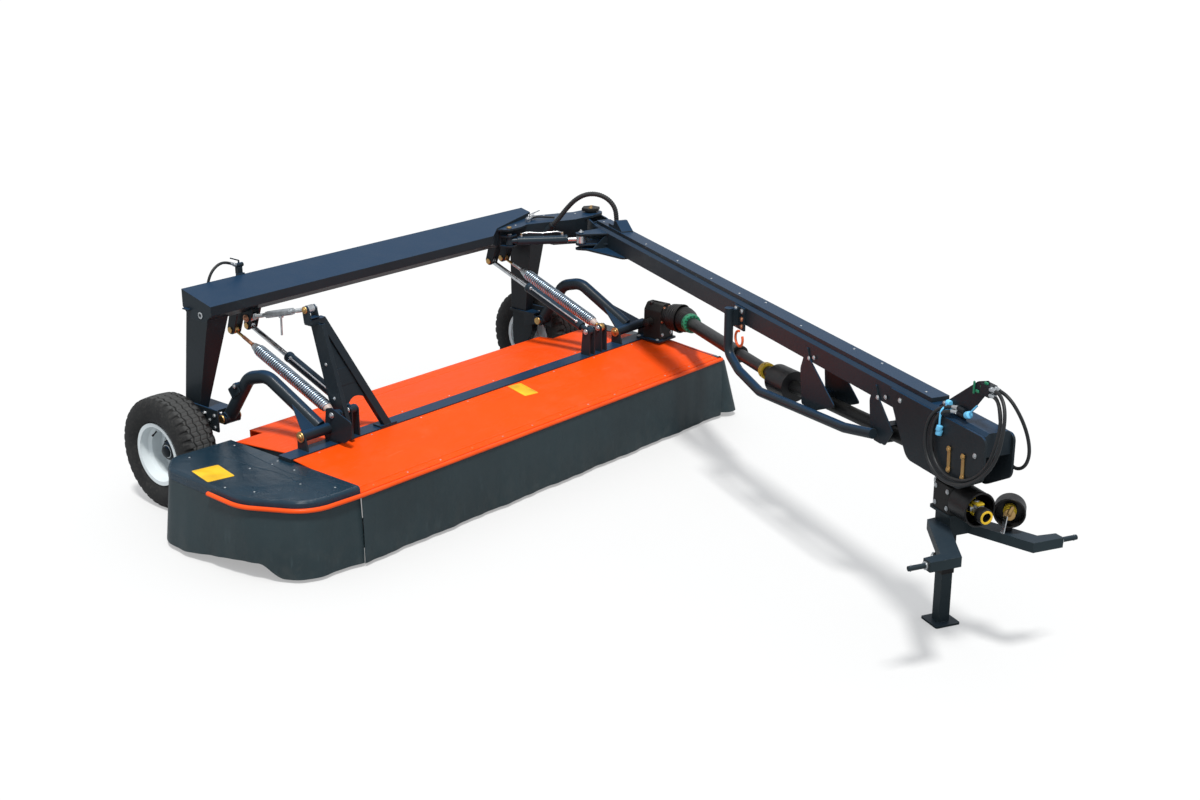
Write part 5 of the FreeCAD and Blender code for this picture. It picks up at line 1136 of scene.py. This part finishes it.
def drawbar_trim():
    """Bolts, straps, hose fittings, coupler caps, orange ring and jack pin, all on the drawbar."""
    s = Shape()

    def at(x, ahead, z):
        """A place by the drawbar."""
        return drawbar([x, ahead, z])
    for ahead in (330, 1120, 1654, 2190, 2602, 2869, 3420, 3963, 4267, 4800):
        s.rivet(at(26 if int(ahead) % 2 else -26, ahead, 1378.3), UP, ZINC, 8)
    for x in (-28, 28):
        s.bolt(at(x, 690, 1388), UP, ZINC, 12)
    for ahead in (2690, 2772):
        for z in (1308, 1254, 1205):
            s.bolt(at(-94.5, ahead, z), -ACROSS, COPPER if z < 1300 else ZINC, 15)
    for out, size, spots in ((88.4, 12, ((3640, 1242), (3700, 1262), (4420, 1236), (4500, 1262))),
                             (94.5, 13, ((4655, 1292), (5372, 1216)))):
        for ahead, z in spots:
            for side in (-1, 1):
                s.bolt(at(side * out, ahead, z), side * ACROSS, ZINC, size)
    for ahead in (5150, 5278):
        s.bar(at(-97.5, ahead - 2, 1190), at(-97.5, ahead + 4, 1056),
              [(-2.5, -13), (2.5, -13), (2.5, 13), (-2.5, 13)], GOLD, AHEAD)
        for z in (1180, 1066):
            s.bolt(at(-100.2, ahead + (1180 - z) * 0.05, z), -ACROSS, GOLD, 15)
    # orange ring that hangs by the clamp
    ring_torus(s, at(-112, 2776, 1128), ACROSS, 50, 8.5, ORANGE_RUBBER, 30, UP * 0.6 + AHEAD,
               math.radians(300))
    # fittings of the hoses at the rack
    for loop in (NEAR_LOOP, INNER_LOOP, FAR_LOOP):
        for i, j in ((0, 1), (-1, -2)):
            way = unit(loop[j] - loop[i])
            s.solid([(-2, 13.5), (10, 13.5), (10, 10.8), (36, 10.8), (38, 9.7)], loop[i], way, ZINC, 12)
    for loop in (NEAR_LOOP, INNER_LOOP):
        cap = loop[0] - AHEAD * 0.066
        s.turned([(0, 0), (0, 15), (6, 17), (26, 17), (32, 14), (34, 0)], cap, -AHEAD, PALE_BLUE, 20)
        tie = cap - AHEAD * 0.02 + [0, 0, -0.015]
        path = bend([cap - AHEAD * 0.014, tie - ACROSS * 0.040 + [0, 0, -0.02],
                     tie - ACROSS * 0.048 + [0, 0, -0.065], tie - ACROSS * 0.047 + [0, 0, -0.120]], 8)
        s.tube(path, 0.0055, PALE_BLUE, 8, ACROSS + AHEAD * 0.1)
        s.solid([(-16, 15), (-10, 18), (12, 18), (16, 12)], path[-1], ACROSS * 0.3 + UP, PALE_BLUE, 20)
    s.solid([(-18, 17), (-10, 20), (14, 20), (18, 14)], at(-60, 5240, 1392), AHEAD + UP * 0.4, PALE_BLUE, 20)
    s.tube(bend([at(-50, 5300, 1460), at(-58, 5286, 1440), at(-62, 5262, 1412), at(-60, 5244, 1396)], 8),
           0.0055, PALE_BLUE, 8, ACROSS)
    for z in (1540, 1574, 1604):
        s.box(at(-56, 5300 + (z - 1540) * 1.1, z), (9, 30, 14), GREEN,
              (ACROSS, unit(AHEAD + UP * 0.5), UP), 3)
    s.box(at(-56, 5268, 1552), (8, 10, 70), GREEN, (ACROSS, AHEAD, UP), 3)
    for ahead in (5010, 5150):
        s.bolt(at(-50.4, ahead, 1385), -ACROSS, ZINC, 10)
    s.turned([(0, 0), (0, 6), (22, 6), (26, 9), (44, 9), (46, 0)], at(-70, 5005, 984), -UP, ZINC, 12)
    # jack: pin through both tubes with its ring, and welded lugs
    s.turned([(0, 0), (0, 12), (4, 12), (4, 9), (16, 9), (18, 0)], at(94, 4808.5, 402), -AHEAD, ZINC, 16)
    ring_torus(s, at(94, 4796, 380), ACROSS, 20, 2.6, ZINC, 24)
    for z in (1265, 1180, 1060):
        s.box(at(175, 4850, z), (6, 60, 30), JACK, (ACROSS, AHEAD, UP), 2)
        s.bolt(at(178, 4850, z), ACROSS, ZINC, 12)
    # gear head between the side plates: cover plates and bolts
    for z in (1010, 1140):
        for x in (-56, 56):
            s.bolt(at(x, 5220.5, z), AHEAD, ZINC, 12)
    s.solid([(0, 48), (6, 48), (8, 30)], at(0, 5220, 1075), AHEAD, GEAR, 30)
    s.make("drawbar_trim", "drawbar")


drawbar_trim()


# ---- drive line ----
JOINT_G = np.array([1830.0, -1420.0, 740.0])
JOINT_D = (drawbar([0, 3200, 945]) - AXLE) * 1000
PTO_WAY = unit(JOINT_D - JOINT_G)


def rear_guard():
    """Bellows in rounded rings, its pierced green collar, and the black and yellow rings of the shaft."""
    s = Shape()
    far = np.linspace(-20, 150, 120)
    fall = np.interp(far, [-20, 40, 150], [92, 88, 66])
    wave = 4.0 * np.abs(np.sin(math.pi * (far + 20) / 24)) ** 0.7
    outer = np.c_[far, fall + wave]
    inner = np.c_[far[::-6], (fall + wave - 5)[::-6]]
    s.turned(np.vstack([outer, inner, outer[:1]]), machine(JOINT_G), PTO_WAY, BLACK, 40)
    s.turned([(148, 50), (148, 70), (154, 74), (196, 70), (200, 66), (200, 48.3), (148, 48.3), (148, 50)],
             machine(JOINT_G), PTO_WAY, GREEN, 40)
    first = unit(np.cross(PTO_WAY, UP))
    second = np.cross(PTO_WAY, first)
    for ring_far, lift, size in ((200, 57, 5.5), (176, 71.5, 6.5)):
        for k in range(14):
            a = 2 * math.pi * (k + (0.5 if lift > 60 else 0)) / 14
            way = first * math.cos(a) + second * math.sin(a)
            spot = machine(JOINT_G) + (PTO_WAY * ring_far + way * lift) / 1000
            s.turned([(-3, 0), (-3, size), (0.9, size), (1.0, 0)], spot, way if lift > 60 else PTO_WAY,
                     BLACK, 10)
    s.make("joint_guard_piece", "shaft_rear", ["joint_guard"], 45)
    s = Shape()
    s.turned([(1276, 41), (1276, 56), (1284, 60), (1318, 60), (1326, 54), (1326, 41)],
             machine(JOINT_G), PTO_WAY, BLACK, 36)
    s.make("shaft_collar", "shaft_rear")
    s = Shape()
    end = 1905.0        # front end of the yellow ring, from the joint
    s.turned([(end - 62, 40.2), (end - 62, 52), (end - 56, 55), (end - 36, 55), (end - 33, 50),
              (end - 28, 50), (end - 25, 56), (end - 4, 56), (end, 52), (end, 40.2)],
             machine(JOINT_G), PTO_WAY, YELLOW, 36)
    for k in range(4):
        a = math.pi / 2 * k + 0.4
        way = first * math.cos(a) + second * math.sin(a)
        spot = machine(JOINT_G) + (PTO_WAY * (end - 14) + way * 56) / 1000
        s.turned([(0, 0), (0, 5), (2, 5), (2.5, 0)], spot, way, BLACK, 10)
    s.make("shaft_band", "shaft_front")


rear_guard()


def gearbox_trim():
    """Cover plate, ribs, bolts, breather, plugs and black sleeve of the header's side gearbox."""
    s = Shape()
    x, z = JOINT_G[0], JOINT_G[2]
    for side, face in ((-1, -1245.5), (1, -1084.5)):
        for dx, height in ((-52, 596), (52, 596), (-56, 700), (56, 700), (-28, 800), (28, 800)):
            s.bolt(machine([x + dx, face, height]), side * Y, COPPER if height > 650 else ZINC, 12)
    for dx in (-46, 0, 46):
        s.box(machine([x + dx, -1165, 826 if dx == 0 else 800]), (10, 118, 22), GEAR, (X, Y, UP), 3)
    s.turned([(0, 0), (0, 70), (10, 72), (16, 66), (18, 0)], machine([x, -1246, z]), -Y, GEAR, 36)
    for k in range(8):
        a = math.pi / 4 * k + 0.2
        s.bolt(machine([x + 60 * math.cos(a), -1263, z + 60 * math.sin(a)]), -Y, ZINC, 9)
    s.turned([(0, 0), (0, 12), (10, 12), (12, 16), (28, 16), (34, 10), (35, 0)],
             machine([x - 40, -1130, 806]), UP, BLACK, 18)
    s.turned([(0, 0), (0, 30), (60, 30), (64, 24), (66, 0)], machine([x - 78, -1150, 690]), -X, GEAR, 24)
    s.turned([(0, 0), (0, 14), (12, 14), (13, 0)], machine([x + 77, -1190, 640]), X, ZINC, 6)
    for dx in (-90, 90):
        for dy in (-1240, -1060):
            s.bolt(machine([x + dx * 0.95, dy + 14, 559]), UP, ZINC, 13)
    far = np.linspace(18, 150, 90)
    sleeve = np.interp(far, [18, 60, 150], [74, 96, 108]) + 3.5 * np.abs(np.sin(math.pi * far / 22)) ** 0.7
    outline = np.vstack([np.c_[far, sleeve], np.c_[far[::-6], sleeve[::-6] - 6], [[18, 74]]])
    s.turned(outline, machine([x, -1245, z]), -Y, BLACK, 44)
    s.make("gearbox_trim", "header")


gearbox_trim()


def hitch_trim():
    """Joints in the two bells, bolts, and the lock rings on the link pins."""
    s = Shape()

    def at(x, ahead, z):
        """A place by the hitch's swivel, along and across the drawbar."""
        return drawbar([x, 5090 + ahead, z])
    # input bell: yoke on the splined shaft, cross, and the outer yoke with its yellow ring
    ring_torus(s, at(0, 230, 882), AHEAD, 91, 6.0, BLACK, 48)
    s.turned([(100, 18), (100, 40), (146, 43), (150, 34), (150, 18)], at(0, 0, 882), AHEAD, YELLOW_STEEL, 28)
    for a in (-1, 1):
        s.box(at(a * 31, 176, 882), (13, 60, 46), YELLOW_STEEL, (ACROSS, AHEAD, UP), 6)
        s.box(at(0, 212, 882 + a * 31), (46, 62, 13), YELLOW_STEEL, (ACROSS, AHEAD, UP), 6)
    for way in (ACROSS, UP):
        s.solid([(-44, 14), (-36, 17), (36, 17), (44, 14)], at(0, 194, 882), way, ZINC, 20)
    way = AHEAD + UP * -0.02
    s.turned([(236, 17.8), (236, 40), (250, 44), (286, 44), (292, 40), (292, 28), (262, 24), (262, 17.8)],
             at(0, 0, 868), way, BLACK, 32)
    s.turned([(290, 26), (290, 37), (297, 37), (297, 26), (290, 26)], at(0, 0, 868), way, YELLOW, 32)
    # second bell: joint, bronze arm and a plated lever
    centre = at(168, 262, 848)
    way = -unit(0.62 * ACROSS - 0.78 * AHEAD + 0.05 * UP)
    ring_torus(s, centre, way, 80.5, 5.0, BLACK, 48)
    s.solid([(-60, 34), (-30, 36), (-24, 28), (6, 26), (10, 20)], centre, way, YELLOW_STEEL, 28)
    s.solid([(8, 30), (22, 32), (26, 26)], centre, way, GOLD, 24)
    path = bend([centre + way * 0.020, centre + way * 0.040 + UP * 0.020,
                 centre + way * 0.046 + UP * 0.055 + ACROSS * 0.02], 8)
    s.tube(path, 0.012, GOLD, 10, ACROSS)
    s.bar(centre + way * 0.05 - ACROSS * 0.02 + UP * 0.01, centre + way * 0.05 - ACROSS * 0.035 - UP * 0.085,
          [(-3, -14), (3, -14), (3, 14), (-3, 14)], CHROME, AHEAD)
    for a in (-1, 1):
        for ahead, z in ((-70, 830), (40, 830), (-70, 925), (40, 925)):
            s.bolt(at(a * 75.4, ahead, z), a * ACROSS, ZINC, 12)
    for a in (-1, 1):
        s.turned([(0, 14.4), (0, 22), (6, 23), (12, 22), (12, 14.4)], at(a * 414, 380, 700), a * ACROSS,
                 ZINC, 24)
        s.solid([(-18, 4), (18, 4)], at(a * 508, 380, 700), UP, ZINC, 10)
    for x, ahead in ((-52, 30), (52, 30), (-52, -90), (52, -90)):
        s.bolt(at(x, ahead, 785.6), -UP, ZINC, 13)
    s.make("hitch_trim", "hitch")


hitch_trim()


def swing_trim():
    """Gland, ports and pin heads of the swing cylinder."""
    frame_pin, bar_pin = (1140, -262), (-262, 440)
    start, end = machine([*frame_pin, 1290]), drawbar([*bar_pin, 1290])
    way = unit(end - start)
    s = Shape()
    s.turned([(420, 15.4), (420, 34), (426, 36), (440, 36), (446, 28), (446, 15.4)], start, way, CYLINDER, 28)
    for far in (92, 404):
        port = start + way * far / 1000
        s.turned([(30, 0), (30, 11), (46, 11), (46, 8), (58, 8), (60, 0)], port, UP, ZINC, 6)
        s.turned([(46, 0), (46, 9), (56, 9), (58, 0)], port, UP, GOLD, 12)
    pipe = ((0.092, 0.052), (0.14, 0.062), (0.25, 0.056), (0.36, 0.062), (0.404, 0.052))
    s.tube(bend([start + way * far + UP * lift for far, lift in pipe], 8), 0.0055, CHROME, 10,
           np.cross(way, UP))
    s.make("swing_barrel_trim", "swing_barrel")
    s = Shape()
    s.turned([(0, 0), (0, 22), (4, 23), (7, 20), (8, 0)], machine([*frame_pin, 1340]), UP, ZINC, 20)
    s.turned([(0, 0), (0, 19), (4, 20), (8, 18), (9, 11), (18, 10), (20, 0)],
             drawbar([*bar_pin, 1340]), UP, ZINC, 20)
    s.make("swing_pin_trim", "drawbar")


swing_trim()


def disc_trim():
    """Hub bolts and cap of each cutting disc, and its knife bolts above and below."""
    first, pitch, y, knife = -1960.0, 400, -1420, 128
    for n in range(10):
        s = Shape()
        x = first + pitch * n
        turn = (0, math.pi / 2)[n % 2]
        for k in range(5):
            a = 2 * math.pi * k / 5
            s.bolt(machine([x + 40 * math.cos(a), y + 40 * math.sin(a), 136.3]), UP, ZINC, 9)
        s.turned([(0, 0), (0, 22), (8, 21), (12, 14), (13, 0)], machine([x, y, 136.3]), UP, DISC, 20)
        for end in (0, math.pi):
            c, d = math.cos(turn + end), math.sin(turn + end)
            s.bolt(machine([x + knife * c, y + knife * d, 120.0]), UP, ZINC, 11)
            s.solid([(0, 15), (3.5, 15), (5, 9)],
                     machine([x + knife * c, y + knife * d, 103.3]), -UP, ZINC, 14)
        s.make(f"disc_trim_{n + 1:02d}", f"cutting_disc_{n + 1:02d}")


disc_trim()


# ---- stage ----
def fresh(owner, *kinds):
    """Nodes of these kinds, in the emptied node tree of a material or world."""
    owner.use_nodes = True
    owner.node_tree.nodes.clear()
    return [owner.node_tree.nodes.new("ShaderNode" + kind) for kind in kinds]


def connect(owner, *pairs):
    """Links, each from an output to an input, in a material or world."""
    for output, socket in pairs:
        owner.node_tree.links.new(output, socket)


def stage():
    """Pale floor, an even sky and one broad high lamp."""
    plane = bpy.data.meshes.new("floor")
    r = 60.0
    plane.from_pydata([(-r, -r, 0), (r, -r, 0), (r, r, 0), (-r, r, 0)], [], [(0, 1, 2, 3)])
    floor = bpy.data.objects.new("floor", plane)
    show(floor)
    pale = bpy.data.materials.new("floor_paper")
    end, matt, seen, white, path, glow, mix = fresh(
        pale, "OutputMaterial", "BsdfDiffuse", "BsdfDiffuse", "Emission", "LightPath", "MixShader",
        "MixShader")
    matt.inputs["Color"].default_value = (0.40, 0.41, 0.42, 1)
    seen.inputs["Color"].default_value = (0.71, 0.715, 0.715, 1)
    white.inputs["Strength"].default_value = 1.0
    glow.inputs[0].default_value = 0.37
    connect(pale, (seen.outputs[0], glow.inputs[1]), (white.outputs[0], glow.inputs[2]),
            (path.outputs["Is Camera Ray"], mix.inputs[0]), (matt.outputs[0], mix.inputs[1]),
            (glow.outputs[0], mix.inputs[2]), (mix.outputs[0], end.inputs[0]))
    plane.materials.append(pale)

    world = bpy.data.worlds.new("sky")
    bpy.context.scene.world = world
    end, lit, seen, path, mix = fresh(
        world, "OutputWorld", "Background", "Background", "LightPath", "MixShader")
    lit.inputs["Color"].default_value, lit.inputs["Strength"].default_value = (0.93, 0.96, 1.0, 1), 0.66
    seen.inputs["Strength"].default_value = 1.0
    connect(world, (path.outputs["Is Camera Ray"], mix.inputs[0]), (lit.outputs[0], mix.inputs[1]),
            (seen.outputs[0], mix.inputs[2]), (mix.outputs[0], end.inputs[0]))

    lamp = bpy.data.lights.new("high_lamp", "SUN")
    lamp.energy, lamp.angle, lamp.color = 2.9, math.radians(9), (1.0, 0.985, 0.96)
    sun = bpy.data.objects.new("high_lamp", lamp)
    sun.rotation_euler = Vector((0.285, 0.304, -1.0)).to_track_quat("-Z", "Y").to_euler()
    show(sun)


stage()
bpy.context.scene.view_settings.view_transform = "Standard"
